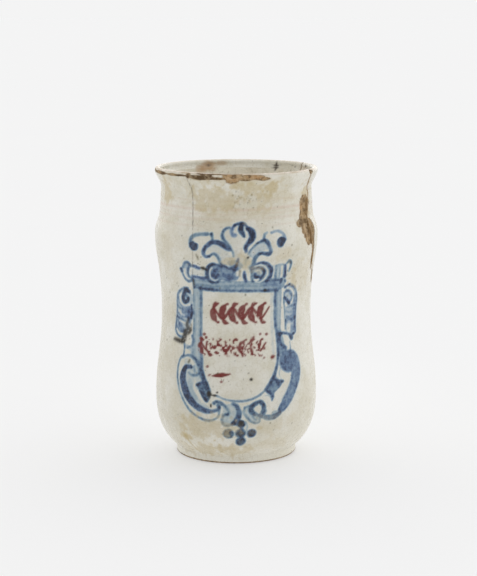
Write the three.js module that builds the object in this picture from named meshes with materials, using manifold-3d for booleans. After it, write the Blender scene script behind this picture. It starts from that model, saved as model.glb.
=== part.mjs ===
// Apothecary jar: an albarello, the waisted drug jar of an old pharmacy.
// One potter's pot in buff earthenware, glazed white outside and inside, with a
// piece of the rim broken out and glued back, and chips round the lip.
// Millimetres, +Z up. The origin is the centre of the base, on the shelf.
// The painted front looks along -Y. An azimuth is in degrees, from the front
// towards +X. A drop is a distance down from the top of the lip.
import * as THREE from 'three';
import { mergeVertices } from 'three/addons/utils/BufferGeometryUtils.js';
import Module from 'manifold-3d';

const wasm = await Module();
wasm.setup();

// ---------------------------------------------------------------- overall form
const jarHeight = 192.5;
const footRadius = 40.4;
const bellyRadius = 54.1;
const waistRadius = 49.9;
const shoulderRadius = 54.2;
const collarRadius = 50.8;      // where the shoulder turns up into the neck
const neckRadius = 49.9;
const rimRadius = 54;

const footHeight = 5.2;
const bellyHeight = 39;         // above the shelf
const waistRise = 3;            // waist above the middle of belly and shoulder
const shoulderDrop = 44;
const collarDrop = 27.5;
const neckDrop = 14;

// How long the wall stays upright at the lower and upper end of each stretch,
// as a share of the stretch's height.
const upright = {
  waist: [0.42, 0.42],
  shoulder: [0.55, 0.3],
  collar: [0.4, 0.35],
  lip: [0.4, 0.3],
};
// The round underside of the belly leaves the foot towards this point, given as a
// share of the step from foot to belly, and turns upright below the belly.
const undersideOut = 0.62;
const undersideUp = 0.2;
const undersideUpright = 0.5;

// ---------------------------------------------------------------- wall and lip
const wallThickness = 4.6;
const floorThickness = 7;
const floorCorner = 12;         // inside rounding between wall and floor
const floorCornerOut = 0.6;     // shares of the rounding that shape its curve
const floorCornerUp = 0.25;
const lipThickness = 4.2;
const lipRound = 2.6;           // height of the rounded top of the lip
const footChamfer = 0.8;

// ---------------------------------------------------------------- glaze coats
const glazeThickness = 0.5;
const glazeStart = 1.4;         // bare clay left below the glaze at the foot
const coatGap = 0.1;            // clearance between a coat and what it covers

// ---------------------------------------------------------------- the repair
const seamWidth = 1.2;          // glue line between the pot and the sherd
const seamGap = 0.1;            // clearance on each side of the glue
const glueSunk = 0.9;           // how far the glue lies below the glaze face
const cutReach = 14;            // how far a cutter passes each face of the wall
// Corners of the glued-back sherd as [azimuth, drop]; a smooth line joins them.
const sherdEdge = [
  [64, -8], [64.5, 4], [69, 16], [65.5, 32], [67, 46], [71, 57], [76, 68],
  [84, 77], [93, 75], [101, 63], [107, 44], [114, 24], [118, 6], [118.5, -8],
];

// Places where glaze and clay are knocked off:
// azimuth, drop and, in mm, half its length, half its height and its depth.
const rimLosses = [
  { azimuth: -78, drop: 3.4, halfLength: 5, halfHeight: 1.9, depth: 0.9 },
  { azimuth: -62, drop: 3.6, halfLength: 5.5, halfHeight: 1.8, depth: 0.9 },
  { azimuth: -37, drop: 2.8, halfLength: 12, halfHeight: 2.4, depth: 1.3 },
  { azimuth: -18, drop: 3.0, halfLength: 10, halfHeight: 2.8, depth: 1.5 },
  { azimuth: 3, drop: 4.0, halfLength: 11, halfHeight: 2.9, depth: 1.4 },
  { azimuth: 111, drop: 2.2, halfLength: 3, halfHeight: 1.6, depth: 0.8 },
];
const shoulderLoss = { azimuth: 63, drop: 38, halfLength: 11, halfHeight: 18, depth: 2.2 };

// ---------------------------------------------------------------- resolution
const roundSegments = 36;
const seamSteps = 28;
const lossSegments = 10;
const lossRings = 6;
const samePoint = 1e-5;         // points closer than this are one point

// ---------------------------------------------------------------- finishes
const clay = new THREE.MeshStandardMaterial({ color: 0x9a6f4c, roughness: 0.95, metalness: 0 });
const sherdClay = new THREE.MeshStandardMaterial({ color: 0xa97b52, roughness: 0.95, metalness: 0 });
const outerGlaze = new THREE.MeshStandardMaterial({ color: 0xd8d3c6, roughness: 0.35, metalness: 0 });
const innerGlaze = new THREE.MeshStandardMaterial({ color: 0xbdbcb4, roughness: 0.4, metalness: 0 });
const glue = new THREE.MeshStandardMaterial({ color: 0x8d7a50, roughness: 0.6, metalness: 0 });

// ---------------------------------------------------------------- profiles
const underside = bellyHeight - footHeight;
const collarHeight = jarHeight - collarDrop;
const shoulderHeight = jarHeight - shoulderDrop;
const neckHeight = jarHeight - neckDrop;
const waistHeight = (bellyHeight + shoulderHeight) / 2 + waistRise;
const lipHeight = jarHeight - lipRound;

// A smooth stretch from where the last one ended to a radius and height, with the
// wall upright at both ends. Stays gives its share of uprightness at start and end.
function swell(radiusFrom, heightFrom, radius, height, stays) {
  const rise = height - heightFrom;
  const path = new THREE.Path().moveTo(radiusFrom, heightFrom);
  path.bezierCurveTo(
    radiusFrom, heightFrom + rise * stays[0],
    radius, height - rise * stays[1], radius, height);
  return path;
}

function straight(radiusFrom, heightFrom, radius, height) {
  return new THREE.Path().moveTo(radiusFrom, heightFrom).lineTo(radius, height);
}

// The outside face, from the edge of the glaze at the foot up to the inner edge of the lip.
function outsideFace() {
  const foot = straight(footRadius, glazeStart, footRadius, footHeight);
  const belly = new THREE.Path().moveTo(footRadius, footHeight);
  belly.bezierCurveTo(
    footRadius + (bellyRadius - footRadius) * undersideOut, footHeight + underside * undersideUp,
    bellyRadius, bellyHeight - underside * undersideUpright, bellyRadius, bellyHeight);
  const waist = swell(bellyRadius, bellyHeight, waistRadius, waistHeight, upright.waist);
  const shoulder = swell(waistRadius, waistHeight, shoulderRadius, shoulderHeight, upright.shoulder);
  const collar = swell(shoulderRadius, shoulderHeight, collarRadius, collarHeight, upright.collar);
  const neck = straight(collarRadius, collarHeight, neckRadius, neckHeight);
  const lip = swell(neckRadius, neckHeight, rimRadius, lipHeight, upright.lip);
  const top = new THREE.Path();
  top.absellipse(rimRadius - lipThickness / 2, lipHeight, lipThickness / 2, lipRound, 0, Math.PI, false, 0);
  return joined([
    [foot, 1], [belly, 5], [waist, 3], [shoulder, 3], [collar, 3], [neck, 1], [lip, 3], [top, 3],
  ]);
}

// The inside face, from the inner edge of the lip down to the middle of the floor. It
// follows the outside at one wall's thickness.
function insideFace() {
  const inset = (radius) => radius - wallThickness;
  const down = (stays) => [stays[1], stays[0]];
  const floorRadius = inset(footRadius) - floorCorner;
  const lipInside = rimRadius - lipThickness;
  const neck = swell(lipInside, lipHeight, inset(neckRadius), neckHeight, down(upright.lip));
  const collar = straight(inset(neckRadius), neckHeight, inset(collarRadius), collarHeight);
  const shoulder = swell(
    inset(collarRadius), collarHeight, inset(shoulderRadius), shoulderHeight, down(upright.collar));
  const waist = swell(
    inset(shoulderRadius), shoulderHeight, inset(waistRadius), waistHeight, down(upright.shoulder));
  const belly = swell(
    inset(waistRadius), waistHeight, inset(bellyRadius), bellyHeight, down(upright.waist));
  const corner = new THREE.Path().moveTo(inset(bellyRadius), bellyHeight);
  corner.bezierCurveTo(
    inset(bellyRadius), bellyHeight - underside * undersideUpright,
    inset(footRadius) + floorCorner * floorCornerOut, floorThickness + floorCorner * floorCornerUp,
    floorRadius, floorThickness);
  const floor = straight(floorRadius, floorThickness, 0, floorThickness);
  return joined([
    [neck, 2], [collar, 1], [shoulder, 3], [waist, 3], [belly, 3], [corner, 4], [floor, 1],
  ]);
}

// One run of points from several paths laid end to end, each cut into its own number of steps.
function joined(stretches) {
  const points = stretches.flatMap(([path, steps]) => path.getPoints(steps));
  return points.filter((point, i) => i === 0 || point.distanceTo(points[i - 1]) > samePoint);
}

// The same run moved sideways, square to itself at each point: to its left for a
// distance over 0. A face that runs up the outside and down the inside sinks into the clay.
function shifted(run, distance) {
  return run.map((point, i) => {
    const before = run[Math.max(i - 1, 0)];
    const after = run[Math.min(i + 1, run.length - 1)];
    const along = after.clone().sub(before).normalize();
    return new THREE.Vector2(point.x - along.y * distance, point.y + along.x * distance);
  });
}

// ---------------------------------------------------------------- solids
function toSolid(geometry) {
  const bare = geometry.clone();
  bare.deleteAttribute('normal');
  bare.deleteAttribute('uv');
  const merged = mergeVertices(bare, samePoint);
  const index = merged.index.array;
  const triangles = [];
  for (let i = 0; i < index.length; i += 3) {
    const [a, b, c] = [index[i], index[i + 1], index[i + 2]];
    if (a !== b && b !== c && c !== a) triangles.push(a, b, c);
  }
  return new wasm.Manifold(new wasm.Mesh({
    numProp: 3,
    vertProperties: Float32Array.from(merged.attributes.position.array),
    triVerts: Uint32Array.from(triangles),
  }));
}

function toMesh(name, solid, material) {
  const { vertProperties, triVerts } = solid.getMesh();
  const geometry = new THREE.BufferGeometry();
  geometry.setAttribute('position', new THREE.BufferAttribute(Float32Array.from(vertProperties), 3));
  geometry.setIndex(new THREE.BufferAttribute(Uint32Array.from(triVerts), 1));
  geometry.computeVertexNormals();
  const mesh = new THREE.Mesh(geometry, material);
  mesh.name = name;
  return mesh;
}

// A closed profile turned round the jar's axis.
function turned(profile) {
  const geometry = new THREE.LatheGeometry(profile, roundSegments);
  geometry.rotateX(Math.PI / 2);
  return toSolid(geometry);
}

// The whole glazed face: up the outside, over the lip, down the inside.
const outside = outsideFace();
const inside = insideFace();
const face = [...outside, ...inside.slice(1)];
const lipEnd = outside.length - 1;

// The pot under its glaze: a solid with a flat base whose face lies at this depth.
function potSolid(depth) {
  const skin = shifted(face, depth);
  const radius = skin[0].x;
  const base = [
    new THREE.Vector2(0, 0),
    new THREE.Vector2(radius - footChamfer, 0),
    new THREE.Vector2(radius, footChamfer),
  ];
  return turned([...base, ...skin]);
}

// The coat on the outside wraps over the lip and ends at its inner edge.
function outsideCoat() {
  const coatFace = face.slice(0, lipEnd + 1);
  const back = shifted(face, glazeThickness).slice(0, lipEnd + 1).reverse();
  return turned([...coatFace, ...back, coatFace[0]]);
}

// The coat on the inside starts just below that edge and covers the floor.
function insideCoat() {
  const coatFace = startedLower(face.slice(lipEnd));
  const back = startedLower(shifted(face, glazeThickness).slice(lipEnd)).reverse();
  return turned([...back, ...coatFace]);
}

function startedLower(run) {
  const share = coatGap / run[0].distanceTo(run[1]);
  return [run[0].clone().lerp(run[1], share), ...run.slice(1)];
}

// Bends a shape round the jar. Before bending, x runs along the wall from the azimuth,
// y is how far the shape lies in from the reference radius, and z is the height.
function wrapped(geometry, azimuth, radius) {
  const position = geometry.attributes.position;
  for (let i = 0; i < position.count; i += 1) {
    const angle = THREE.MathUtils.degToRad(azimuth) + position.getX(i) / radius;
    const out = radius - position.getY(i);
    position.setXYZ(i, out * Math.sin(angle), -out * Math.cos(angle), position.getZ(i));
  }
  return toSolid(geometry);
}

// The radius of the outside face at a height.
function outsideRadius(height) {
  const above = Math.max(1, outside.findIndex((point) => point.y >= height));
  const [low, high] = [outside[above - 1], outside[above]];
  const share = (height - low.y) / (high.y - low.y);
  return THREE.MathUtils.lerp(low.x, high.x, share);
}

// A rounded bite out of the outside face.
function loss({ azimuth, drop, halfLength, halfHeight, depth }) {
  const bite = new THREE.SphereGeometry(1, lossSegments, lossRings);
  bite.scale(halfLength, depth, halfHeight);
  bite.translate(0, 0, jarHeight - drop);
  return wrapped(bite, azimuth, outsideRadius(jarHeight - drop));
}

// A plug of the sherd's outline, right through the wall, its edge moved out by growth.
const sherdAzimuth = (sherdEdge[0][0] + sherdEdge[sherdEdge.length - 1][0]) / 2;
const mmPerDegree = THREE.MathUtils.degToRad(shoulderRadius);

function sherdPlug(growth) {
  const corners = sherdEdge.map(([azimuth, drop]) => (
    new THREE.Vector2((azimuth - sherdAzimuth) * mmPerDegree, jarHeight - drop)));
  const outline = shifted(new THREE.SplineCurve(corners).getPoints(seamSteps), -growth);
  const length = wallThickness + 2 * cutReach;
  const plug = new THREE.ExtrudeGeometry(new THREE.Shape(outline), { depth: length, bevelEnabled: false });
  plug.rotateX(Math.PI / 2);
  plug.translate(0, wallThickness + cutReach, 0);
  return wrapped(plug, sherdAzimuth, shoulderRadius);
}

// ---------------------------------------------------------------- the pieces
const losses = wasm.Manifold.union([...rimLosses, shoulderLoss].map(loss));
const pot = potSolid(glazeThickness + coatGap).subtract(losses);
const outerCoat = outsideCoat().subtract(losses);
const innerCoat = insideCoat();

const halfSeam = seamWidth / 2;
const opening = sherdPlug(halfSeam + seamGap);
const sherd = sherdPlug(-halfSeam - seamGap);
const seam = sherdPlug(halfSeam).subtract(sherdPlug(-halfSeam));

const jar = new THREE.Group();
jar.add(
  toMesh('clay_body', pot.subtract(opening), clay),
  toMesh('outer_glaze', outerCoat.subtract(opening), outerGlaze),
  toMesh('inner_glaze', innerCoat.subtract(opening), innerGlaze),
  toMesh('mended_sherd', pot.intersect(sherd), sherdClay),
  toMesh('sherd_outer_glaze', outerCoat.intersect(sherd), outerGlaze),
  toMesh('sherd_inner_glaze', innerCoat.intersect(sherd), innerGlaze),
  toMesh('mending_glue', potSolid(glueSunk).subtract(losses).intersect(seam), glue),
);

export default jar;
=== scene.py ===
# %% [markdown]
# # A mended apothecary jar
# The object is an albarello: a waisted jar of buff clay, covered with white tin glaze and
# painted in cobalt blue and iron red before the glaze was fired. The lip has been knocked,
# a piece of the rim was broken out and glued back, and the glaze is stained and pitted.
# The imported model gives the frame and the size. Every piece here stands for one of its
# nodes, at the same place, with the broken edges, the painting and the worn surface added.

# %% Load the frame
import math
import bpy
import numpy as np
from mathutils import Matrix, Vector


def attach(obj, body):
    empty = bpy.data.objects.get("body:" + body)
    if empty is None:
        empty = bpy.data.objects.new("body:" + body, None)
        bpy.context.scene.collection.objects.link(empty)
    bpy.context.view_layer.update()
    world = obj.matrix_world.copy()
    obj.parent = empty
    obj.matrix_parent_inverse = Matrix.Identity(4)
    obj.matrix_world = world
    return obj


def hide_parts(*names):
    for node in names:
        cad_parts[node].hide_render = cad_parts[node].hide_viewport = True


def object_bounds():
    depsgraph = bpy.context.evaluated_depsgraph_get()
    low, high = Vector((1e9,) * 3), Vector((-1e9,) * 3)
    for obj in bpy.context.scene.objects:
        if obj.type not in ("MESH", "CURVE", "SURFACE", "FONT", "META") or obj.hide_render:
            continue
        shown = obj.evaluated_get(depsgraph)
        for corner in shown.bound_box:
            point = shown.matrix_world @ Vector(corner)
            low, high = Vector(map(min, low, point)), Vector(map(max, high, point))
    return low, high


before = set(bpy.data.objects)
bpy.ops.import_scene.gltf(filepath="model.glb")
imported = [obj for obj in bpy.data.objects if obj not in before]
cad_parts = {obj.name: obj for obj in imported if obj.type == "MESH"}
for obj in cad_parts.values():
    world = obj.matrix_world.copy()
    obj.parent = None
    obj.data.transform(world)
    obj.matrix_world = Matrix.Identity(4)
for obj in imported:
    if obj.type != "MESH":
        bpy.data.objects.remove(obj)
cad_low, cad_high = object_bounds()
print("frame nodes:", sorted(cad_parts))

# %% [markdown]
# ## Sizes
# A potter would write these on a sketch: radii and heights in millimetres. The radii are the
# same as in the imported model, and the height is read from it, so the new pieces fit its box.

# %% The jar's own sizes, in millimetres
MM = 0.001
JAR_HEIGHT = (cad_high.z - cad_low.z) / MM
FOOT_RADIUS, BELLY_RADIUS, WAIST_RADIUS = 40.4, 54.1, 49.9
SHOULDER_RADIUS, COLLAR_RADIUS, NECK_RADIUS, RIM_RADIUS = 54.2, 50.8, 49.9, 54.0
FOOT_HEIGHT, BELLY_HEIGHT = 5.2, 39.0
SHOULDER_HEIGHT = JAR_HEIGHT - 44.0
COLLAR_HEIGHT = JAR_HEIGHT - 27.5
NECK_HEIGHT = JAR_HEIGHT - 14.0
WAIST_HEIGHT = (BELLY_HEIGHT + SHOULDER_HEIGHT) / 2 + 3.0
LIP_THICK, LIP_ROUND = 4.2, 2.6
LIP_HEIGHT = JAR_HEIGHT - LIP_ROUND
WALL, FLOOR_THICK, FLOOR_CORNER = 4.6, 7.0, 12.0
FOOT_CHAMFER = 0.8
GLAZE_THICK, GLAZE_START = 0.5, 1.4
SEAM_WIDTH, GLUE_SUNK = 1.2, 0.45
MEAN_RADIUS = 52.0   # turns an azimuth into millimetres across the painted front
print("height", round(JAR_HEIGHT, 2), "mm, widest", 2 * SHOULDER_RADIUS, "mm")

# %% [markdown]
# ## The turned outline
# A thrown pot is a shape of revolution, so one line describes it: from the middle of the
# base, round the foot, up the outside, over the lip, down the inside to the middle of the
# floor. Bezier stretches give the slow swells between foot, belly, waist and shoulder. The
# line is cut very finely once, and every piece reads its radius, height and facing from it.

# %% Curves for the outline
def bezier(a, b, c, d, steps=160):
    """Points of a cubic Bezier curve from a to d, pulled by b and c."""
    t = np.linspace(0, 1, steps)[:, None]
    a, b, c, d = (np.array(p, float) for p in (a, b, c, d))
    return (1 - t) ** 3 * a + 3 * t * (1 - t) ** 2 * b + 3 * t * t * (1 - t) * c + t ** 3 * d


def line(a, b, steps=80):
    """Points of a straight stretch."""
    return bezier(a, a, b, b, steps)


def swell(r0, z0, r1, z1, stay0, stay1):
    """A stretch that is upright at both ends, for a share of its height."""
    rise = z1 - z0
    return bezier((r0, z0), (r0, z0 + rise * stay0), (r1, z1 - rise * stay1), (r1, z1))


# %% One outline for the whole jar
underside = BELLY_HEIGHT - FOOT_HEIGHT
out = BELLY_RADIUS - FOOT_RADIUS
turn = np.linspace(0, math.pi, 120)
lip_top = np.stack([RIM_RADIUS - LIP_THICK / 2 + LIP_THICK / 2 * np.cos(turn),
                    LIP_HEIGHT + LIP_ROUND * np.sin(turn)], 1)
inner = dict(belly=BELLY_RADIUS - WALL, waist=WAIST_RADIUS - WALL, shoulder=SHOULDER_RADIUS - WALL,
             collar=COLLAR_RADIUS - WALL, neck=NECK_RADIUS - WALL, foot=FOOT_RADIUS - WALL)
outline = np.vstack([
    line((0, 0), (FOOT_RADIUS - FOOT_CHAMFER, 0)),
    line((FOOT_RADIUS - FOOT_CHAMFER, 0), (FOOT_RADIUS, FOOT_CHAMFER)),
    line((FOOT_RADIUS, FOOT_CHAMFER), (FOOT_RADIUS, FOOT_HEIGHT)),
    bezier((FOOT_RADIUS, FOOT_HEIGHT), (FOOT_RADIUS + out * 0.62, FOOT_HEIGHT + underside * 0.2),
           (BELLY_RADIUS, BELLY_HEIGHT - underside * 0.5), (BELLY_RADIUS, BELLY_HEIGHT)),
    swell(BELLY_RADIUS, BELLY_HEIGHT, WAIST_RADIUS, WAIST_HEIGHT, 0.42, 0.42),
    swell(WAIST_RADIUS, WAIST_HEIGHT, SHOULDER_RADIUS, SHOULDER_HEIGHT, 0.55, 0.3),
    swell(SHOULDER_RADIUS, SHOULDER_HEIGHT, COLLAR_RADIUS, COLLAR_HEIGHT, 0.4, 0.35),
    line((COLLAR_RADIUS, COLLAR_HEIGHT), (NECK_RADIUS, NECK_HEIGHT)),
    swell(NECK_RADIUS, NECK_HEIGHT, RIM_RADIUS, LIP_HEIGHT, 0.4, 0.3),
    lip_top,
    swell(RIM_RADIUS - LIP_THICK, LIP_HEIGHT, inner["neck"], NECK_HEIGHT, 0.3, 0.4),
    line((inner["neck"], NECK_HEIGHT), (inner["collar"], COLLAR_HEIGHT)),
    swell(inner["collar"], COLLAR_HEIGHT, inner["shoulder"], SHOULDER_HEIGHT, 0.35, 0.4),
    swell(inner["shoulder"], SHOULDER_HEIGHT, inner["waist"], WAIST_HEIGHT, 0.3, 0.55),
    swell(inner["waist"], WAIST_HEIGHT, inner["belly"], BELLY_HEIGHT, 0.42, 0.42),
    bezier((inner["belly"], BELLY_HEIGHT), (inner["belly"], BELLY_HEIGHT - underside * 0.5),
           (inner["foot"] + FLOOR_CORNER * 0.6, FLOOR_THICK + FLOOR_CORNER * 0.25),
           (inner["foot"] - FLOOR_CORNER, FLOOR_THICK)),
    line((inner["foot"] - FLOOR_CORNER, FLOOR_THICK), (0, FLOOR_THICK)),
])
steps_along = np.hypot(*np.diff(outline, axis=0).T)
outline = outline[np.r_[True, steps_along > 1e-6]]
reach = np.r_[0, np.cumsum(np.hypot(*np.diff(outline, axis=0).T))]
print("outline is", round(reach[-1]), "mm long")

# %% [markdown]
# The facing of the outline is blended over half a millimetre, so that corners such as the
# edge of the foot are softly rubbed and not razor sharp. A few places along the line get
# names, because the pieces begin and end there.

# %% Radius, height and facing at any distance along the outline
EVEN_STEP, BLEND_STEPS = 0.1, 9      # mm between samples, and how many of them are blended
even = np.arange(0, reach[-1], EVEN_STEP)
even_r, even_z = (np.interp(even, reach, outline[:, k]) for k in (0, 1))
facing = np.stack([np.gradient(even_z, even), -np.gradient(even_r, even)], 1)
soft = np.hanning(BLEND_STEPS)
soft /= soft.sum()
facing = np.stack([np.convolve(np.pad(facing[:, k], BLEND_STEPS // 2, mode="edge"), soft, "valid")
                   for k in (0, 1)], 1)
facing /= np.hypot(*facing.T)[:, None]


def outline_at(t):
    """Radius, height, and the facing's radial and upright shares."""
    return tuple(np.interp(t, even, v) for v in (even_r, even_z, facing[:, 0], facing[:, 1]))


AT_CREST = float(reach[np.argmax(outline[:, 1])])
AT_FOOT = float(reach[np.argmax(outline[:, 0] >= FOOT_RADIUS)])
AT_GLAZE = AT_FOOT + GLAZE_START - FOOT_CHAMFER
AT_INSIDE = AT_CREST + 7.0      # where the outside coat hands over to the inside coat
print("crest at", round(AT_CREST, 1), "mm, glaze starts at", round(AT_GLAZE, 1), "mm")

# %% [markdown]
# ## Uneven by hand
# Nothing on a hand-made pot repeats exactly. A lattice of random numbers, smoothly blended,
# gives clouds of any size. The seeds are fixed, so that every run gives the same jar.

# %% Smooth random clouds
LATTICE = 64          # cells along each side before the cloud repeats
CLOUD_RADIUS = 50.0   # clouds on the wall are read on a circle of this radius, so that they close


def cloud(x, y, z, size, seed):
    """Smooth noise from -1 to 1 with lumps of the given size."""
    lattice = np.random.default_rng(seed).uniform(-1, 1, (LATTICE,) * 3)
    value = 0
    parts = [np.asarray(v, float) / size + 1000 for v in (x, y, z)]
    cells = [np.floor(v).astype(int) for v in parts]
    blends = [(v - c) ** 2 * (3 - 2 * (v - c)) for v, c in zip(parts, cells)]
    for corner in range(8):
        pick = [(corner >> k) & 1 for k in range(3)]
        weight = 1
        for blend, side in zip(blends, pick):
            weight = weight * (blend if side else 1 - blend)
        i, j, k = ((c + side) % LATTICE for c, side in zip(cells, pick))
        value = value + weight * lattice[i, j, k]
    return value


def rough_cloud(x, y, z, size, seed, layers=3):
    """The same, with finer and fainter layers on top."""
    return sum(cloud(x, y, z, size / 2 ** n, seed + n) / 2 ** n for n in range(layers)) / 1.6


def ramp(value, low, high):
    """0 below low, 1 above high, with an easy bend at both ends."""
    share = np.clip((value - low) / (high - low), 0, 1)
    return share * share * (3 - 2 * share)


def on_circle(a, radius=CLOUD_RADIUS):
    """Where azimuth a lies on a circle, for reading a cloud."""
    return np.sin(a) * radius, np.cos(a) * radius


# %% [markdown]
# ## The painter's sheet
# The painting is laid on a flat sheet that wraps the front of the jar: across it runs the
# azimuth as millimetres, and up it the height above the shelf. A stroke is a smooth curve
# through a few given points, with the width and the strength of the brush at them.
# The sheet is fine enough for a hair of the brush. Later each point of the glaze reads from
# it how much colour it has, and the material turns that into cobalt or iron red.

# %% The sheet
CELL = 0.25
SHEET_LEFT, SHEET_RIGHT = -64, 76
FULL_COAT = 0.98      # no coat covers what is below it quite entirely
sheet_s = np.arange(SHEET_LEFT, SHEET_RIGHT, CELL)
sheet_z = np.arange(0, JAR_HEIGHT + 1, CELL)
S, Z = np.meshgrid(sheet_s, sheet_z)
sheet = {name: np.zeros(S.shape) for name in
         ("blue", "violet", "red", "soot", "ochre", "olive", "hair")}
hand_shake = rough_cloud(S, Z, 0, 5, 11)
fine_grain = rough_cloud(S, Z, 0, 0.9, 21)
print("sheet of", S.shape[1], "by", S.shape[0], "cells")


# %% A smooth curve through given points
def curve_through(points, step=0.2):
    """Catmull-Rom curve through the points, with a point about every step."""
    p = np.array(points, float)
    p = np.vstack([2 * p[0] - p[1], p, 2 * p[-1] - p[-2]])
    runs = []
    for a, b, c, d in zip(p, p[1:], p[2:], p[3:]):
        n = max(2, int(np.hypot(*(c - b)) / step))
        t = np.arange(n)[:, None] / n
        runs.append(0.5 * (2 * b + (c - a) * t + (2 * a - 5 * b + 4 * c - d) * t ** 2
                           + (3 * b - 3 * c + d - a) * t ** 3))
    return np.vstack(runs + [p[-2:-1]])


def spread(values, count):
    """One or more values spread evenly over a count of points."""
    values = np.atleast_1d(np.array(values, float))
    return np.interp(np.linspace(0, 1, count), np.linspace(0, 1, len(values)), values)


def window(points, margin):
    """The part of the sheet that lies round the points."""
    s, z = np.array(points, float).T
    rows = np.searchsorted(sheet_z, (z.min() - margin, z.max() + margin))
    across = np.searchsorted(sheet_s, (s.min() - margin, s.max() + margin))
    return slice(*rows), slice(*across)


def trail(points, width, part):
    """How deep each cell of the part lies inside the brush's trail, and how far along it."""
    path = curve_through(points)
    depth = np.full(S[part].shape, -99.0)
    along = np.zeros(depth.shape)
    for k, ((s, z), half) in enumerate(zip(path, spread(width, len(path)) / 2)):
        d = half - np.hypot(S[part] - s, Z[part] - z)
        nearer = d > depth
        depth[nearer] = d[nearer]
        along[nearer] = k / len(path)
    return depth, along


# %% [markdown]
# Cobalt sinks into the wet white glaze and blurs a little, so its edges are soft, and it
# pools darker where the brush rests. Iron red stays on top, so its edges are crisp and it
# flakes. A brush can also lift colour off again, which leaves a white line.

# %% Brush strokes, washes and dots
def lay(layer, part, amount, violet=None):
    """Adds colour as another thin coat."""
    amount = np.clip(amount, 0, FULL_COAT)
    there = sheet[layer][part]
    there[:] = 1 - (1 - there) * (1 - amount)
    if violet is not None:
        hue = sheet["violet"][part]
        hue += (violet - hue) * np.clip(amount / np.maximum(there, 0.05), 0, 1)


def brush(points, width, strength, violet=0.4, edge=0.7, layer="blue"):
    """One brush stroke. Width and strength may change along it."""
    part = window(points, np.max(width) / 2 + 3)
    depth, along = trail(points, width, part)
    hairs = cloud(depth, 5 * along, points[0][0], 0.5, 31)
    depth = depth + 0.22 * hand_shake[part] + 0.12 * fine_grain[part]
    tone = np.interp(along, np.linspace(0, 1, np.size(strength)), np.atleast_1d(strength))
    tone = tone * (1 + 0.14 * hand_shake[part] + 0.08 * fine_grain[part] + 0.07 * hairs)
    lay(layer, part, ramp(depth, -edge, edge) * tone, violet if layer == "blue" else None)


def wash(points, strength, violet=0.4, edge=0.6):
    """A filled shape with a soft edge, a little darker where the colour dried last."""
    part = window(points, 4)
    path = curve_through(list(points) + [points[0]], 0.5)
    inside = np.zeros(S[part].shape, bool)
    for (s0, z0), (s1, z1) in zip(path, path[1:]):
        crosses = (z0 > Z[part]) != (z1 > Z[part])
        slope = (s1 - s0) / (z1 - z0 if z1 != z0 else 1)
        inside ^= crosses & (S[part] < s0 + (Z[part] - z0) * slope)
    depth, _ = trail(list(points) + [points[0]], 0, part)
    depth = np.where(inside, -depth, depth) + 0.25 * hand_shake[part]
    rim = 1 + 0.18 * np.exp(-np.abs(depth) / 0.8)
    tone = strength * rim * (1 + 0.16 * hand_shake[part] + 0.08 * fine_grain[part])
    lay("blue", part, ramp(depth, -edge, edge) * tone, violet)


def lift(points, width, share=0.8, edge=0.5):
    """Takes colour off along a stroke."""
    part = window(points, np.max(width) / 2 + 2)
    depth, _ = trail(points, width, part)
    sheet["blue"][part] *= 1 - share * ramp(depth + 0.15 * hand_shake[part], -edge, edge)


def dot(s, z, radius, strength, layer="blue", violet=0.3, edge=0.5):
    """A touch of the brush's tip."""
    brush([(s - 0.2, z), (s + 0.2, z + 0.1)], 2 * radius, strength, violet, edge, layer)


def stain(s, z, half_s, half_z, strength, layer, torn=0.5, seed=5):
    """A soft spot with a torn edge."""
    part = window([(s, z)], 1.8 * max(half_s, half_z) + 1)
    q = np.hypot((S[part] - s) / half_s, (Z[part] - z) / half_z)
    q += torn * rough_cloud(S[part], Z[part], 0, 3.0, seed)
    lay(layer, part, ramp(-q, -1.1, -0.55) * strength)


# %% [markdown]
# ## The crest of the frame
# Three plumes stand on the middle of the frame, with a leaf on each side and two small
# hooked flowers further out. The dark strokes are the painter's second pass.

# %% Paint the crest
wash([(-8, 150), (-7.6, 156), (-3, 158.5), (6, 158), (8, 152), (4, 143), (1, 138), (-2, 142)], 0.07)
wash([(-19, 143), (-15, 146.6), (-9, 145.4), (-4, 141), (-2, 135), (-8, 134.5), (-11, 139), (-15, 142)],
     0.12)
wash([(-5, 136), (0, 137), (4, 134), (3, 131.4), (-3, 131)], 0.36, 0.2, 0.9)
wash([(9, 144.6), (14, 147.8), (18, 148), (20.6, 144), (15, 142.4), (11, 138.6), (8, 140)], 0.17)
brush([(-18.2, 153.6), (-20.2, 153.4), (-24.4, 153), (-27.9, 151.8), (-29.6, 149.6), (-29.9, 147)],
      (2.2, 2.6, 2.4), (0.72, 0.5, 0.55, 0.66), 0.1)
brush([(-28.4, 146), (-27.2, 145), (-25.2, 146.2)], (5, 5.2, 1.8), 0.97, 0.35)
brush([(-15.6, 153.7), (-14.8, 151.4), (-14.7, 149)], (2.2, 1.6), (0.8, 0.5), 0)
brush([(-4.4, 144.2), (-6.7, 145.9), (-9, 147.4), (-12, 148.6), (-15.5, 148.3), (-18.5, 146),
       (-20.2, 143.6), (-20.8, 141.2), (-19.6, 139.2), (-17, 139.4)], (2.6, 3.6, 3.2, 3, 2.8, 2.6, 1.8),
      (0.8, 0.9, 0.88, 0.84, 0.8, 0.72), 0.55)
brush([(-17, 139.4), (-15.5, 140.6), (-13.8, 141), (-12, 139.8), (-10.8, 137.7), (-10.2, 135.6),
       (-9.4, 133)], (1.5, 2, 2), (0.8, 0.66, 0.56), 0.1)
brush([(-4.2, 158), (-6.7, 157.3), (-8.2, 155.4), (-8.8, 153), (-7.9, 150.6), (-6.1, 148.7),
       (-4.4, 146.5), (-3.2, 144.2), (-2, 141.8), (-1.7, 139.5)], (1.3, 2, 2.2, 1.9, 1.6, 1.2, 0.9),
      (0.72, 0.78, 0.66, 0.6, 0.45), 0.15)
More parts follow.
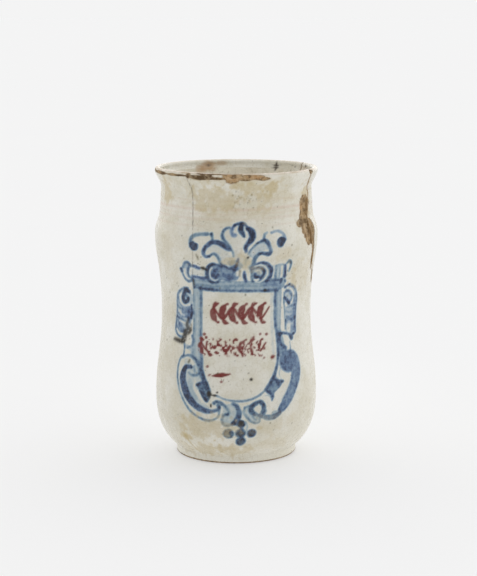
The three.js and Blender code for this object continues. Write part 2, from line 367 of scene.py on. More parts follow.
brush([(-0.8, 159.5), (-2.3, 157.8), (-2.9, 155.6), (-2.2, 153.6), (-0.8, 153.2)], (1.6, 2, 2.4),
      (0.8, 0.6, 0.48), 0.95)
brush([(-1.6, 159.2), (1.5, 160.5), (4.5, 160.6), (6.4, 159), (6.9, 157)], (1.4, 2, 1.6), 0.88)
brush([(3.4, 159.6), (3, 156.6), (4.4, 153.8), (4.9, 152.6)], (2.8, 3.4, 3.2, 1.6), 0.98, 0.3)
brush([(7.6, 157.4), (9.6, 155.6), (10.2, 152.4), (9, 149.8), (7.1, 147.4), (5.9, 145.2), (6.1, 142.6)],
      (2.8, 4.4, 4.2, 3.8, 3.2, 2.6, 1.8), (0.9, 0.95, 0.92, 0.88, 0.85), 0.6)
brush([(8.8, 156.4), (10, 153.6), (9.4, 151)], 2.6, 0.6, 0.3)
brush([(-6.4, 146.2), (-9.6, 148), (-14, 148.4)], 1.6, 0.5)
brush([(19.9, 154.6), (18, 153.2), (17.4, 151)], (1.1, 1.8), (0.4, 0.62), 0.1)
brush([(22.7, 154.2), (25.1, 154.9), (28, 154.9), (30.4, 153.6), (31.8, 151.6), (32.4, 149.2)],
      (1.6, 2, 1.9), (0.5, 0.36, 0.4, 0.52), 0.6)
brush([(31.6, 149), (29.4, 148.4), (28.8, 147)], (2.4, 5.4, 5.2), 0.97)
brush([(30.2, 148.4), (28.9, 147.4)], 3.8, 0.7, 0.1)
brush([(15.7, 149.2), (18, 149.6), (19.7, 148.2), (21, 145.8), (22.1, 142.9), (21.2, 140.7), (19, 140.9),
       (16.8, 141.3), (14.5, 140.9)], (1.8, 2.8, 2.4, 2.6, 2.4, 2), (0.92, 0.86, 0.66, 0.7, 0.82, 0.85))
brush([(14.5, 140.9), (12.7, 139.2), (11.5, 137.1), (10.9, 134.8), (10.4, 132)], (2, 2.8, 3),
      (0.78, 0.6, 0.56), 0.05)
brush([(15.5, 149), (13.3, 148), (10.9, 145.8), (9.2, 144), (7.4, 141)], (1.6, 1.3, 1.1), (0.8, 0.5), 0.3)
brush([(1.3, 137.8), (0.7, 135.4), (-0.2, 133.2), (-1.2, 131)], (1, 2, 3), (0.85, 0.92), 0.7)
wash([(3, 139), (6, 141), (8.6, 138), (9.6, 134), (9, 131.6), (4, 131), (3, 134.6)], 0.12, 0, 1.6)
stain(5.4, 137.4, 3.6, 4.6, 0.4, "ochre", 1.1, 51)
brush([(8.6, 140), (6.4, 137.6), (5.6, 134.4)], (0.8, 1.4, 0.8), 0.3, 0)
stain(-5, 137, 5, 2.8, 0.5, "ochre")
stain(0, 140, 5, 4, 0.22, "olive", 0.8)
brush([(-26, 140), (-25, 138.4), (-24.6, 137)], (0.8, 1.5, 1.1), 0.92, layer="olive")
stain(7.2, 138.8, 1, 0.9, 0.9, "soot", 0.3)
stain(13, 147.8, 1.1, 0.6, 0.8, "soot", 0.3)

# %% [markdown]
# ## The cornice
# Under the crest lies a cornice with a rolled end on each side and two spirals, and below it
# a plain frieze that carries the field. Spirals are drawn as open curves, dark outside.

# %% Paint the frieze and the cornice's left half
wash([(-30, 123.6), (0, 123.4), (31, 123.2), (30.6, 116.4), (0, 117), (-27, 117.2), (-30, 118)], 0.42,
     0.3)
wash([(18, 123), (31, 122.6), (30, 117), (19, 117.6)], 0.16, 0.9)
brush([(-26, 120.6), (-12, 119.6), (4, 120.4), (14, 119.4)], 1.4, 0.16, 0)
brush([(-25, 117.5), (-18, 117.4), (-8, 116.9), (6, 116.8), (18, 116.4), (29, 115.9)],
      (2.2, 1.7, 1.6, 1.8), (0.75, 0.66, 0.62, 0.66))
wash([(-36.6, 131), (-34, 133), (-31.4, 131.6), (-33, 127), (-33, 124), (-36, 126)], 0.28, 0.7)
brush([(-30.5, 132.2), (-32, 133.8), (-33.8, 134.2), (-35.8, 133), (-37, 130.9), (-38.5, 128.9),
       (-37.9, 126.5), (-36.7, 124.2), (-34.9, 122.5), (-32.9, 121.8), (-30.6, 122.8)],
      (1.8, 2, 1.6, 1.8, 1.8, 1.7), (0.78, 0.6, 0.55, 0.7, 0.62, 0.72))
brush([(-38.9, 129.2), (-38.3, 128.2)], 2.6, 0.88)
lift([(-35.4, 129.6), (-35.9, 126.6), (-34.8, 124.4)], 1.3)
brush([(-31.7, 132.6), (-32.6, 130), (-33.2, 127.1), (-32.3, 124.9), (-30, 124)], 1.5, (0.72, 0.6, 0.66),
      0.3)
wash([(-31, 127), (-29, 131), (-20.6, 130.6), (-20, 126.6), (-26, 126.4)], 0.1, 0.3)
brush([(-28.6, 132.2), (-26.8, 132)], 2, 0.68, 0.95)
brush([(-25.6, 131.4), (-24.4, 131.2)], 1.8, 0.62, 0.95)
brush([(-23, 131.4), (-21.4, 131.2), (-19.6, 130.6)], (1.2, 2.2, 1.2), 0.95, layer="soot", edge=0.7)
brush([(-30, 125.3), (-27, 125), (-23, 124.6), (-19.4, 124.8)], (1.8, 2.2, 2.2), (0.7, 0.76, 0.85), 0.8)
brush([(-29.4, 122.6), (-28.9, 118)], (1.6, 1.1), (0.9, 0.7), 0)
stain(-29.2, 121, 0.9, 2.4, 0.6, "olive", 0.3)
wash([(-18.5, 131), (-14, 134), (-8, 133.4), (-3, 131.6), (0, 133), (1.6, 130), (1, 124.4), (-5, 123.4),
      (-11, 123.8), (-15, 121.8), (-18.6, 124.6)], 0.52, 0.55)
brush([(-9.6, 134.4), (-6.7, 133), (-3.8, 131.8), (-1.4, 133.2)], 1.6, 0.72)
brush([(-11.2, 133.7), (-14.4, 134.3), (-17, 133.2), (-18.6, 131.2), (-18.9, 128.9), (-19.1, 125.9),
       (-18.2, 123.6), (-16.1, 121.9), (-13.2, 122), (-11, 123.6)], (1.6, 2.2, 2.4, 1.8, 1.8),
      (0.75, 0.95, 0.86, 0.76, 0.62), 0.35)
lift([(-15.6, 131.8), (-17, 129.6), (-17.2, 126.8), (-16.2, 124.6), (-14, 123.6), (-12.2, 124.4)], 1.1,
     0.85)
brush([(-12.6, 130.6), (-14.4, 128.9), (-14.8, 126.8), (-13.2, 125.8), (-11.6, 127)], (2, 2.8, 2.4),
      (0.6, 0.85, 0.82), 0.7)
brush([(-8, 127.6), (-5, 126.2), (-2.6, 125.4)], (2.6, 3.2, 2.4), 0.45, 0.6)
brush([(-1.6, 130), (-2.2, 127.2), (-1.2, 125)], 1.4, 0.6, 0.3)
lift([(0.9, 129.4), (0.7, 127.4)], 2, 0.85)
brush([(2.4, 130.2), (2.2, 126.4)], (1.4, 1), 0.8, layer="olive")
lift([(3.6, 131), (3.9, 127.6), (3.2, 125)], 1.9, 0.85)

# %% Paint the cornice's right half
wash([(8, 132), (12, 134), (18, 135), (23, 131.6), (23.6, 127), (20, 122.4), (11, 122.4), (9.6, 127)],
     0.4, 0.2)
wash([(23, 133), (30, 133.6), (34, 132.6), (35.4, 127), (34, 123.4), (24, 123)], 0.34, 0.2)
brush([(5.2, 129.4), (5.4, 126.4), (6.2, 123.6)], (1.8, 2.4, 2), (0.8, 0.9), 0.8)
brush([(8.6, 132.6), (9.8, 129), (9.8, 125), (10.9, 122.8)], 1.6, 0.5, 0)
brush([(12.5, 133.8), (14.5, 134.9), (16.8, 135.1), (19.8, 134.3), (22.1, 132.2), (23.3, 129.8),
       (23.3, 127.4), (22.1, 124.6), (20.4, 122.8)], (1.4, 2, 2.6, 2.6, 2.2),
      (0.72, 0.85, 0.95, 0.9, 0.78), 0.6)
lift([(12, 132.8), (15.6, 133.7), (18.5, 132.4), (20.4, 130), (20.5, 127.1), (18.6, 124.2), (15.6, 122.4),
      (12.7, 122.9)], 1.15, 0.85)
brush([(11.2, 131.4), (14.5, 132.1), (17.1, 131), (18.3, 128.9), (17.4, 126.4), (16.6, 125.4)],
      (1.4, 1.9, 1.7), (0.7, 0.8, 0.72), 0.3)
lift([(12.2, 129.6), (14.8, 130.2), (16.4, 128.4)], 1)
brush([(12.2, 127.4), (12.8, 126), (14.6, 125.6), (16, 124.6)], (2.2, 2.6, 1.8), 0.88, 0.6)
lift([(12, 124), (13.6, 123.9), (14.6, 124.3)], 1.5, 0.9)
lift([(24.9, 132.6), (25.2, 129), (24.7, 125)], 1.1, 0.85)
brush([(26.4, 132), (26.6, 124)], 1.6, 0.3, 0.3)
lift([(28.2, 130.6), (28.4, 125)], 1.1, 0.5)
lift([(31, 131.6), (31.3, 127), (30.8, 123.4)], 1.6, 0.9)
brush([(33.4, 132.4), (34, 129), (33.8, 125.2)], (1.6, 2.2, 2), (0.85, 0.92), 0.85)
lift([(35.4, 131), (35.6, 126)], 1)
brush([(34.6, 133.4), (36.2, 134.9), (38, 134), (38.2, 131.2), (37.2, 128)], (1.4, 2.2, 1.6, 1.1),
      (0.66, 0.72, 0.4), 0)
stain(37.2, 134, 2.2, 1.4, 0.5, "olive")
brush([(31.2, 122.8), (31, 121.4)], 2.2, 0.92, 0.3)
brush([(34.4, 122.2), (34.8, 121.4)], 1.6, 0.85, 0.3)
stain(19.2, 116.9, 1.5, 1.5, 0.95, "soot", 0.35)

# %% [markdown]
# ## The field
# The white field in the middle has straight sides and a round foot, like a shield. Its
# outline is one firm dark line with a pale wash outside it.

# %% Paint the shield's edge
wash([(-30, 119), (-25, 119), (-24.8, 100), (-24.6, 80), (-22.6, 66), (-20, 57), (-24, 60), (-28, 70),
      (-31, 73), (-31, 88), (-30.4, 104)], 0.31, 0.2)
brush([(-24, 118.4), (-24.2, 106), (-24.4, 94), (-24.2, 82), (-23.6, 74), (-22.8, 66), (-21.4, 59.6)],
      (2.4, 2, 1.9, 2.2, 2.4), (0.74, 0.52, 0.5, 0.6, 0.58), 0.3)
brush([(-30.3, 113), (-30.2, 100), (-30.4, 88)], 0.9, 0.32, 0.2)
wash([(27.6, 116), (32, 117), (32.4, 104), (32, 92), (33, 88), (36, 79), (36.4, 75.6), (31, 74),
      (28.6, 70), (29, 80), (28.4, 92)], 0.36, 0.3)
wash([(29, 90), (32.4, 88.6), (32, 81), (36, 77.6), (36.4, 75), (31, 74.4), (28.6, 70), (29.4, 80)], 0.34,
     0.5)
brush([(27.3, 116.4), (27.3, 104), (27.6, 95), (28.7, 88), (29.2, 80), (29.1, 73.6)], (2, 1.9, 1.9),
      (0.78, 0.62, 0.66, 0.6))
brush([(24.6, 114), (24.8, 98), (25.4, 84), (26, 72)], 2.4, 0.12, 0.3)
brush([(28.9, 73.6), (28.1, 68.7), (26, 62.7), (22.8, 57.3), (19.3, 52.7)], (1.8, 2.4, 2.2),
      (0.72, 0.74, 0.7))
brush([(19.3, 52.7), (15.3, 49.4), (10.7, 47.1), (5.3, 45.8), (0, 45.7), (-4.7, 46.3), (-8.7, 47.3),
       (-12.6, 49)], (1.5, 1.3, 1.2, 1.3), (0.62, 0.55, 0.5, 0.55), 0.3)

lift([(-27.6, 112), (-27.4, 98), (-27.6, 84), (-26.4, 72)], 1.3, 0.35, 0.8)
lift([(30.4, 112), (30.6, 100), (30.4, 92)], 1.4, 0.4, 0.8)
lift([(-26, 121.8), (-14, 121.2), (-2, 121.9)], 1.2, 0.35, 0.8)
lift([(6, 119), (16, 118.6), (27, 118.4)], 1.1, 0.3, 0.8)

# %% [markdown]
# ## The side scrolls
# Beside the field stand two small pilasters: a rolled head, a shaft with slanting bands of
# light and shade, and a foot. They are drawn almost alike, but never measured.

# %% Paint the left pilaster
wash([(-44.6, 110), (-41, 115.4), (-34.6, 116.6), (-31.4, 113), (-31.4, 100), (-33, 92), (-38, 84.6),
      (-46, 86), (-46, 98)], 0.22)
wash([(-40, 105), (-32, 105.4), (-31.8, 98), (-36, 97), (-41, 99)], 0.38, 0.8)
brush([(-34.2, 117.2), (-38, 116.8), (-41.3, 115), (-44, 112.6), (-45, 110), (-45.4, 106), (-45.7, 102),
       (-46.3, 97.3), (-46.8, 93.3), (-47.3, 90), (-46.7, 86.8), (-44, 84.7), (-40, 83.9)],
      (1.2, 1.7, 1.6, 1.4, 1.8, 1.5), (0.5, 0.62, 0.56, 0.6, 0.7, 0.6), 0.35)
brush([(-33.4, 114.8), (-35.8, 115.6), (-38.2, 113.4), (-39.2, 110.6), (-38, 108), (-35.4, 108.6),
       (-34.4, 110.4)], (2.6, 3.2, 2.8, 3.4, 3.2, 2.2), (0.88, 0.84, 0.8, 0.92, 0.88), 0.35)
brush([(-36.4, 112), (-35, 111)], 2.4, 0.6, 0.2)
brush([(-43.6, 110), (-43.4, 106.6), (-41, 105)], 2, 0.34, 0.7)
brush([(-45, 100.6), (-42, 98.4), (-38, 97.6)], 2, 0.38, 0.8)
brush([(-44.8, 94.8), (-41.6, 92.4)], 2.4, 0.4, 0.8)
brush([(-34, 103.4), (-34.4, 99), (-34, 95)], 2.6, 0.5, 0.7)
brush([(-45.8, 90.6), (-42, 87.8), (-39.4, 88.6)], 1.6, 0.42, 0.6)
lift([(-40.8, 113), (-42.2, 110.6), (-41.4, 106.8), (-37.6, 105.2), (-33.6, 106.2)], 1.5)
brush([(-32, 106), (-31.9, 102), (-32.3, 97.6)], (1.6, 2, 1.4), (0.85, 0.88), 0.6)
brush([(-45, 104.6), (-43, 103.2), (-40.4, 103)], (1.6, 1), (0.6, 0.4), 0.3)
lift([(-44, 101.2), (-41.6, 99.4), (-39, 98.6)], 1.6, 0.7)
brush([(-45.6, 97), (-42, 96.2), (-37.6, 95.2)], (1.7, 1.2), (0.75, 0.5))
lift([(-43.6, 94.8), (-41, 94.2), (-38, 93.6)], 0.9, 0.85)
brush([(-43.4, 92.2), (-41.4, 90.6), (-39.6, 89)], (2.6, 3.4), (0.42, 0.35), 0.7)
lift([(-46, 88.8), (-43.6, 86.4), (-39.6, 86.2)], 1.3, 0.85)
brush([(-34.6, 97), (-35.6, 94.8), (-36, 92.4), (-34.8, 90.6), (-34.6, 89), (-37, 87.8), (-38, 85.2),
       (-38.8, 82.8), (-41.3, 81.6), (-45.3, 81.9), (-48.4, 82)], (2, 3, 3.6, 5, 4.2, 4.2, 3.2, 3.2, 2.8),
      (0.85, 0.95, 0.9, 0.95, 0.92), layer="soot", edge=1.1)
brush([(-32.6, 93.6), (-32.6, 89.6)], (0.9, 1.4), 0.85, layer="soot", edge=0.8)
sheet["soot"] *= ramp(rough_cloud(S, Z, 0, 1.3, 33) + 0.75, 0.05, 0.25)
lift([(-33.6, 86), (-31.8, 88.6)], 0.9, 0.85)
brush([(-31.4, 86), (-30.4, 82.8), (-31.8, 79.6), (-35.2, 78)], (1.8, 2.2, 1.8), (0.55, 0.5, 0.4))
lift([(-34.4, 83.6), (-33.6, 81.2)], 3.4)
brush([(-38, 81), (-37.6, 77), (-37.8, 73)], (1.2, 1.5), (0.6, 0.66))
brush([(-36.4, 79), (-32, 77), (-30.4, 73.6)], 3, 0.22)

# %% Paint the right pilaster
wash([(36, 117), (41, 117.6), (45.4, 112), (46, 100), (45.6, 87), (37, 87.4), (35.6, 98), (34.6, 110)],
     0.22, 0.5)
brush([(35, 117.6), (38.7, 119), (42.7, 117.3), (45.3, 114.7), (46.7, 110.7), (47, 106.7), (46.4, 101.3),
       (46, 96.7), (46, 92), (46, 87.4), (44, 86)], (1.6, 2.2, 2, 1.8, 2.2, 1.6),
      (0.88, 0.72, 0.62, 0.66, 0.6, 0.7), 0.45)
lift([(37.2, 116.8), (41.2, 115.5), (43.5, 112.2), (42.8, 108.2), (40, 105.8)], 1.2, 0.85)
brush([(34.6, 114), (38, 114.9), (40.6, 113), (41.7, 110.2), (39.6, 107.2)], (1.6, 2, 1.8), (0.5, 0.56),
      0.5)
brush([(35.2, 110.6), (37.2, 109.1), (39.4, 106.7)], (1.7, 2.4, 2.8), (0.85, 0.97), 0.7)
brush([(34.7, 113), (34.5, 108), (35.4, 103), (35.5, 97)], 1, (0.6, 0.4), 0.1)
lift([(36.4, 106.6), (37, 105)], 1.6, 0.9)
brush([(44.6, 110.6), (44.8, 104), (44.4, 98)], 2.2, 0.38, 0.8)
brush([(36.6, 101.6), (40, 100.6), (44, 100.4)], 1.6, 0.3, 0.7)
brush([(37, 98), (40, 97.8), (43.6, 98.4)], 1.4, 0.36, 0.8)
brush([(43.4, 94.6), (40, 94), (37.4, 94.6)], 1.6, 0.36, 0.7)
brush([(42.6, 91.4), (42.2, 88)], 2.2, 0.36, 0.7)
brush([(45.4, 104.8), (42, 104.4), (37.4, 104)], (2, 1.6, 1), (0.68, 0.5, 0.36))
brush([(45.6, 102.4), (43.6, 102.4)], 1.4, 0.5, 0.3)
brush([(45.6, 96.4), (42, 95.8), (38, 96.6)], (2.4, 1.8, 1.2), (0.72, 0.6, 0.3), 0.6)
brush([(44.8, 100), (44.6, 98.2)], 2.4, 0.34, 0.8)
brush([(44.8, 93), (44.6, 89)], (1.8, 2.2), (0.42, 0.5), 0.8)
lift([(39.8, 93.6), (39.4, 88.6)], 3, 0.6)
brush([(36.4, 96), (36.3, 90.2)], 1.1, 0.66, 0.2)
brush([(30.8, 87.3), (34.7, 87.5), (37.3, 86.8), (40.7, 85.7), (44.4, 86.2)], (2, 1.7, 1.5),
      (0.92, 0.7, 0.66), 0.5)
brush([(31.6, 86.4), (31, 82.7), (32.7, 79.8), (36.4, 77.8)], (1.8, 2.6, 2.2), (0.62, 0.56), 0.6)
lift([(36.4, 84.4), (36.6, 81.4)], 3.6, 0.9)
brush([(40.4, 84.8), (41.9, 83.6)], (1.8, 3.4), (0.7, 0.86), 0.2)
brush([(40.1, 81), (40.3, 75.4)], (0.8, 1), 0.62, 0.3)

# %% [markdown]
# ## The great scrolls
# Two heavy scrolls carry the field. The left one is drawn as outline, white gap and a thick
# dark body; the right one is almost solid blue. Thick blue runs from violet to slate,
# because the cobalt was loaded unevenly.

# %% Paint the left scroll
wash([(-37, 70.6), (-32, 72), (-27.6, 69), (-24, 62), (-22, 56), (-26, 50), (-21, 44), (-17, 41),
      (-22, 39.4), (-30, 45), (-35, 54), (-36.6, 62)], 0.16, 0.2)
brush([(-38, 72.6), (-40.7, 70), (-42, 65.3), (-42.1, 60), (-41.3, 55.3), (-39.3, 49.3), (-35.3, 42.7),
       (-30.7, 37.5), (-25.3, 34), (-19.3, 32.1), (-14.7, 32.8), (-11.4, 35.2), (-10.7, 37.8), (-12, 40)],
      (1.6, 1.3, 1.4, 1.6, 1.4), (0.62, 0.6, 0.58, 0.62, 0.56), 0.1)
brush([(-31, 66), (-33.4, 65.9), (-35.7, 64.8), (-36.9, 61.4), (-37, 57.3), (-35.3, 52), (-32.7, 47.3),
       (-28.7, 42.9), (-24.7, 40.2), (-20, 38.5), (-16, 38.3), (-12.6, 39.4)],
      (2.4, 3.8, 4.8, 5.6, 5.4, 4.8, 4.2, 3.2, 2), (0.94, 0.95, 0.93, 0.92, 0.88, 0.8, 0.7, 0.54), 0.45)
brush([(-38.2, 71.4), (-34.7, 73.1), (-30.7, 72.7), (-27.3, 70.7), (-24.7, 67.3), (-22.7, 63.3),
       (-21.3, 59.3), (-19.3, 55.3), (-17.6, 52)], (1.6, 2, 2.2, 2.8, 3.4, 3.2),
      (0.6, 0.62, 0.58, 0.6, 0.62), 0.3)
lift([(-33.6, 71), (-31.4, 70.2), (-29.6, 67.6)], 2)
brush([(-28.8, 66.4), (-28, 63.4)], 1.6, 0.3, 0.3)
brush([(-32.6, 62), (-30, 60.8), (-26.6, 61.2), (-24.4, 62.6)], (1.4, 1.8, 1.4), 0.5, 0.3)
brush([(-31.6, 57), (-29.6, 51), (-26, 46)], (2.4, 2.8, 2.2), 0.14, 0)
wash([(-26, 55), (-24.4, 56.6), (-21, 57.6), (-18.4, 57.4), (-16.8, 52), (-16.4, 48), (-18.4, 44.4),
      (-20.6, 45.4), (-23.4, 49.6), (-25, 52.6)], 0.62, 0)
brush([(-26, 54.8), (-24.4, 55.4), (-21.6, 57.2)], (1.8, 2.4, 2), (0.85, 0.7), 0.7)
brush([(-22.6, 52), (-20.6, 48.6), (-18.8, 45)], (3, 2.6, 1.6), (0.5, 0.6, 0.75), 0.3)
lift([(-27.2, 57), (-27.4, 52.6), (-25, 48.4), (-21.6, 44.2)], 1.3, 0.7)
stain(-17.2, 50, 2.2, 2.6, 0.97, "soot", 0.5, 41)
stain(-14, 48.8, 2.6, 1, 0.95, "soot", 0.5, 44)
stain(-17, 47.2, 1.2, 1, 0.6, "olive", 0.4, 43)
stain(-12, 51.1, 0.9, 0.8, 0.95, "soot", 0.3)
stain(-16, 42.1, 0.8, 1.3, 0.95, "soot", 0.4, 42)
brush([(-33.4, 68.6), (-32.8, 69.9)], (1.5, 1.9), 0.95, layer="olive")

# %% Paint the right scroll
wash([(30.4, 68), (31, 72.6), (35, 75.2), (41, 75.6), (45.2, 73), (47.4, 68.7), (48, 64), (47.6, 60),
      (46, 55.3), (43.3, 50.7), (40, 45.3), (36, 40.7), (32, 37.4), (28.6, 36), (28, 39.4), (31.3, 44.7),
      (34, 48.7), (36.7, 53.3), (38.7, 57.3), (39.2, 61.2), (36.7, 62.2), (32.8, 64)], 0.58, 0.55)
wash([(31.4, 68), (32.4, 73), (37, 75), (42, 74), (44.8, 69.4), (42, 64), (37.4, 62.6), (33, 64.6)], 0.3,
     0.5)
brush([(30.8, 72.6), (30.2, 69.4), (31.4, 66), (34, 63.4), (37, 62.2)], (1.6, 2.2, 1.8), 0.45, 0.6)
brush([(45, 62), (44.4, 57), (41.8, 51.6), (38.2, 46), (34.6, 41.6)], (2.6, 3.2, 3, 2.4),
      (0.3, 0.26, 0.1))
brush([(30.7, 73.2), (35.3, 75.6), (41.3, 75.6), (45.4, 72.7), (47.4, 68.7), (48, 64.4), (47.7, 60),
       (46, 55.3), (43.3, 50.7), (40, 45.3), (36, 40.7), (32, 37.4), (29, 36)], (1.2, 1.5, 1.3), 0.35,
      0.5)
brush([(39.6, 60.6), (38.4, 57), (36.4, 53.2), (33.8, 48.8), (31, 44.6)], 1.2, 0.35, 0.3)
wash([(22.6, 58), (26.4, 58.6), (31.6, 56.8), (29.4, 53.3), (25.4, 50), (23.6, 46.4), (21.6, 48.8),
      (19.2, 51.4)], 0.58, 0.3)
brush([(25.4, 59.4), (27.2, 57.4), (28.2, 55.4)], (2.6, 3), 0.55, 0.5)
brush([(19.6, 51.6), (22, 50), (24, 48.6)], (1.8, 2.6, 1.6), 0.6, 0.6)
brush([(30.4, 57), (31.8, 56.6)], 1.7, 0.75, 0.3)
brush([(23.9, 47.4), (23.3, 45)], (1.8, 1.2), 0.7, 0.5)
brush([(30.2, 65), (29.2, 61.6), (30.4, 58.4)], 1, 0.25, 0.2)
brush([(18.6, 48.6), (21, 48.4), (23.2, 46)], 1, 0.32, 0.1)
brush([(34.8, 54.6), (31.6, 49.4), (28.4, 44.4), (25, 40)], 3, 0.07, 0.2)
brush([(29.6, 39.4), (27.4, 37), (24, 36.6)], (2.8, 2.4), 0.3, 0.1)

# %% Paint the small scrolls and the pendants
wash([(-13.4, 43.6), (-7, 43.4), (-2, 44), (1.4, 41), (0.6, 33), (-3, 30.4), (-8.4, 31.4), (-9.4, 36)],
     0.2, 0)
wash([(5, 40.6), (9, 42), (11, 37), (14.6, 33.6), (11.4, 31), (7.6, 33)], 0.16, 0.1)
brush([(-14, 44), (-12, 45), (-9.4, 44), (-6.6, 42), (-4.7, 38.7), (-5.3, 36.6)], (2.2, 2.4, 1.8, 1.8),
      (0.85, 0.72, 0.6, 0.66), 0.1)
brush([(-11.6, 42.8), (-10.6, 41.2), (-10.8, 39.4)], (1.8, 2.2, 1.2), (0.8, 0.92, 0.66), 0.2)
lift([(-9, 42), (-9, 39.4), (-9.8, 37)], 1.1)
brush([(-5.2, 36.8), (-6.8, 36.8), (-8.4, 35.2), (-9.1, 32.6), (-8, 30), (-5.4, 29.3), (-2.6, 30.2)],
      (2, 1.6, 1.5), (0.8, 0.62, 0.58, 0.6), 0.05)
brush([(-2, 44), (0.4, 42.4), (1.6, 39.4), (1.7, 36.4), (0.4, 33.2), (-1.8, 30.6)],
      (1.8, 2.8, 3.4, 3.4, 2.8), (0.7, 0.78, 0.78, 0.82), 0.2)
brush([(-1.8, 30.8), (0.6, 30.2)], 2.6, 0.7, 0.1)
brush([(5.2, 41.6), (4.8, 39), (5.4, 36.6), (8, 33.2), (11.2, 30.9), (14.4, 31.2), (15.1, 34)],
      (1, 1.5, 1.6, 1.4), (0.5, 0.5, 0.62, 0.5), 0.05)
brush([(5.4, 41.4), (7.6, 42.2), (10.4, 42.6)], (1, 1.6), 0.5, 0.1)
brush([(10.4, 35.6), (11.8, 33.6), (12.6, 33)], 1.3, 0.42, 0.1)
brush([(14.6, 43.6), (11.6, 43.4), (9.4, 41), (10, 38.2), (13, 36.4), (17, 35), (21.3, 33.7),
       (25.4, 34.2), (29, 36)], (2.2, 3.2, 3.4, 2.6, 3, 3.8, 3.6, 2.6), (0.72, 0.8, 0.7, 0.6, 0.68, 0.6),
      0.05)
brush([(13, 44.6), (15.6, 44.7), (17.2, 42.6), (17.6, 40), (16.6, 37.6)], (2, 2.8, 2.8, 2.4),
      (0.7, 0.86, 0.7), 0.15)
lift([(14.4, 42.8), (13.5, 40.2), (14.2, 37.4)], 1.2, 0.9)
brush([(19, 38.6), (17.6, 36.8)], (1.4, 2.2), 0.55, 0.1)
pendants = [  # azimuth mm, height, radius, strength, violet
    (3, 30.4, 2.5, 0.98, 0.0), (-5, 23.4, 3.4, 0.78, 0.0), (2.7, 23.8, 3.3, 0.86, 0.1),
    (10, 23.7, 2.9, 0.9, 0.3), (3, 17.8, 3.2, 0.88, 0.1)]
for s, z, radius, strength, violet in pendants:
    dot(s, z, radius, strength, violet=violet, edge=0.9)
    stain(s, z, radius * 0.8, radius * 0.8, 0.42, "olive", 0.5)
lift([(-6.4, 22.4), (-4.6, 21.9)], 1.3, 0.5)
brush([(-7.4, 25.6), (-4.6, 26.4), (-2.4, 25)], 1, 0.3, 0)
brush([(3.6, 28), (3.4, 26)], 2.2, 0.66, 0.2)
stain(3, 31, 1.6, 2.2, 0.75, "soot", 0.3)
brush([(6, 32), (7, 29), (6.6, 26)], 1.2, 0.3, 0)
print("blue covers", round(float((sheet["blue"] > 0.3).mean() * 100), 1), "% of the sheet")

# %% [markdown]
# ## The worn rows in the field
# The field carries two rows of iron-red brushwork and a closing dash. Here they are a plain
# vine, an ornament that says nothing. The lower row is mostly rubbed off. Flaking is
# a cloud that eats the paint where it is high.

# %% Paint the red rows
def vine_row(left, right, base, height, waves, width, worn, seed):
    """A wavy stem with a fat comma leaf in each bend, flaked between the two worn levels."""
    step = (right - left) / waves
    stem = [(left + step * k / 2, base + height * (0.5 + 0.24 * (-1) ** k)) for k in range(2 * waves + 1)]
    brush(stem, (width * 0.5, width * 0.8, width * 0.7, width * 0.5), 0.95, layer="red", edge=0.28)
    for k, (s, z) in enumerate(stem[:-1]):
        down = -height * (-1) ** k
        leaf = [(s + 0.06 * step, z - 0.02 * down), (s - 0.04 * step, z + 0.20 * down),
                (s + 0.02 * step, z + 0.44 * down), (s + 0.16 * step, z + 0.62 * down)]
        brush(leaf, (width * 0.4, width * 1.5, width * 1.7, width * 0.5), 0.96, layer="red", edge=0.28)
        dot(s + 0.25 * step, z + 0.66 * down, width * 0.32, 0.95, "red", edge=0.28)
        tip = [(s, z - 0.02 * down), (s + 0.12 * step, z - 0.16 * down), (s + 0.30 * step, z - 0.20 * down)]
        brush(tip, (width * 0.6, width * 1.1, width * 0.3), 0.94, layer="red", edge=0.28)
    zone = (Z > base - 2) & (Z < base + height + 3)
    flaked = ramp(rough_cloud(S, Z, 0, 1.7, seed), *worn)
    sheet["red"] *= np.where(zone, 1 - flaked, 1)


vine_row(-15.5, 23, 95, 14.5, 3, 2.7, (0.5, 0.75), 61)
vine_row(-24.5, 20.5, 74, 12, 4, 2.4, (0.08, 0.28), 67)
red_crumbs = [  # azimuth mm, height, radius
    (-22, 88, 0.9), (-20.6, 86, 0.8), (16.4, 88.4, 0.7), (21, 88, 0.9), (11.6, 86.4, 0.8),
    (19, 79, 0.8), (18.8, 73, 0.7), (-19, 67.3, 0.9), (-9.4, 58, 0.7), (-24.4, 85, 1.0)]
for s, z, radius in red_crumbs:
    dot(s, z, radius, 0.85, "red", edge=0.3)
brush([(-17.8, 61.9), (-16.8, 62.4)], 1.2, 0.85, layer="red", edge=0.3)
brush([(-15.6, 61.6), (-12, 62.2), (-9, 62.4), (-6, 62.8), (-3.8, 63.3)], (0.9, 2.2, 2.8, 1.8, 0.8), 0.97,
      layer="red", edge=0.3)
brush([(24, 72.8), (26.6, 73.6)], (1.5, 0.8), 0.85, layer="red", edge=0.3)

# %% [markdown]
# ## Age
# Specks of ash and iron, ochre stains where something ran, and a hairline crack from the
# lip. They go on the same sheet, because they belong to places on the front.

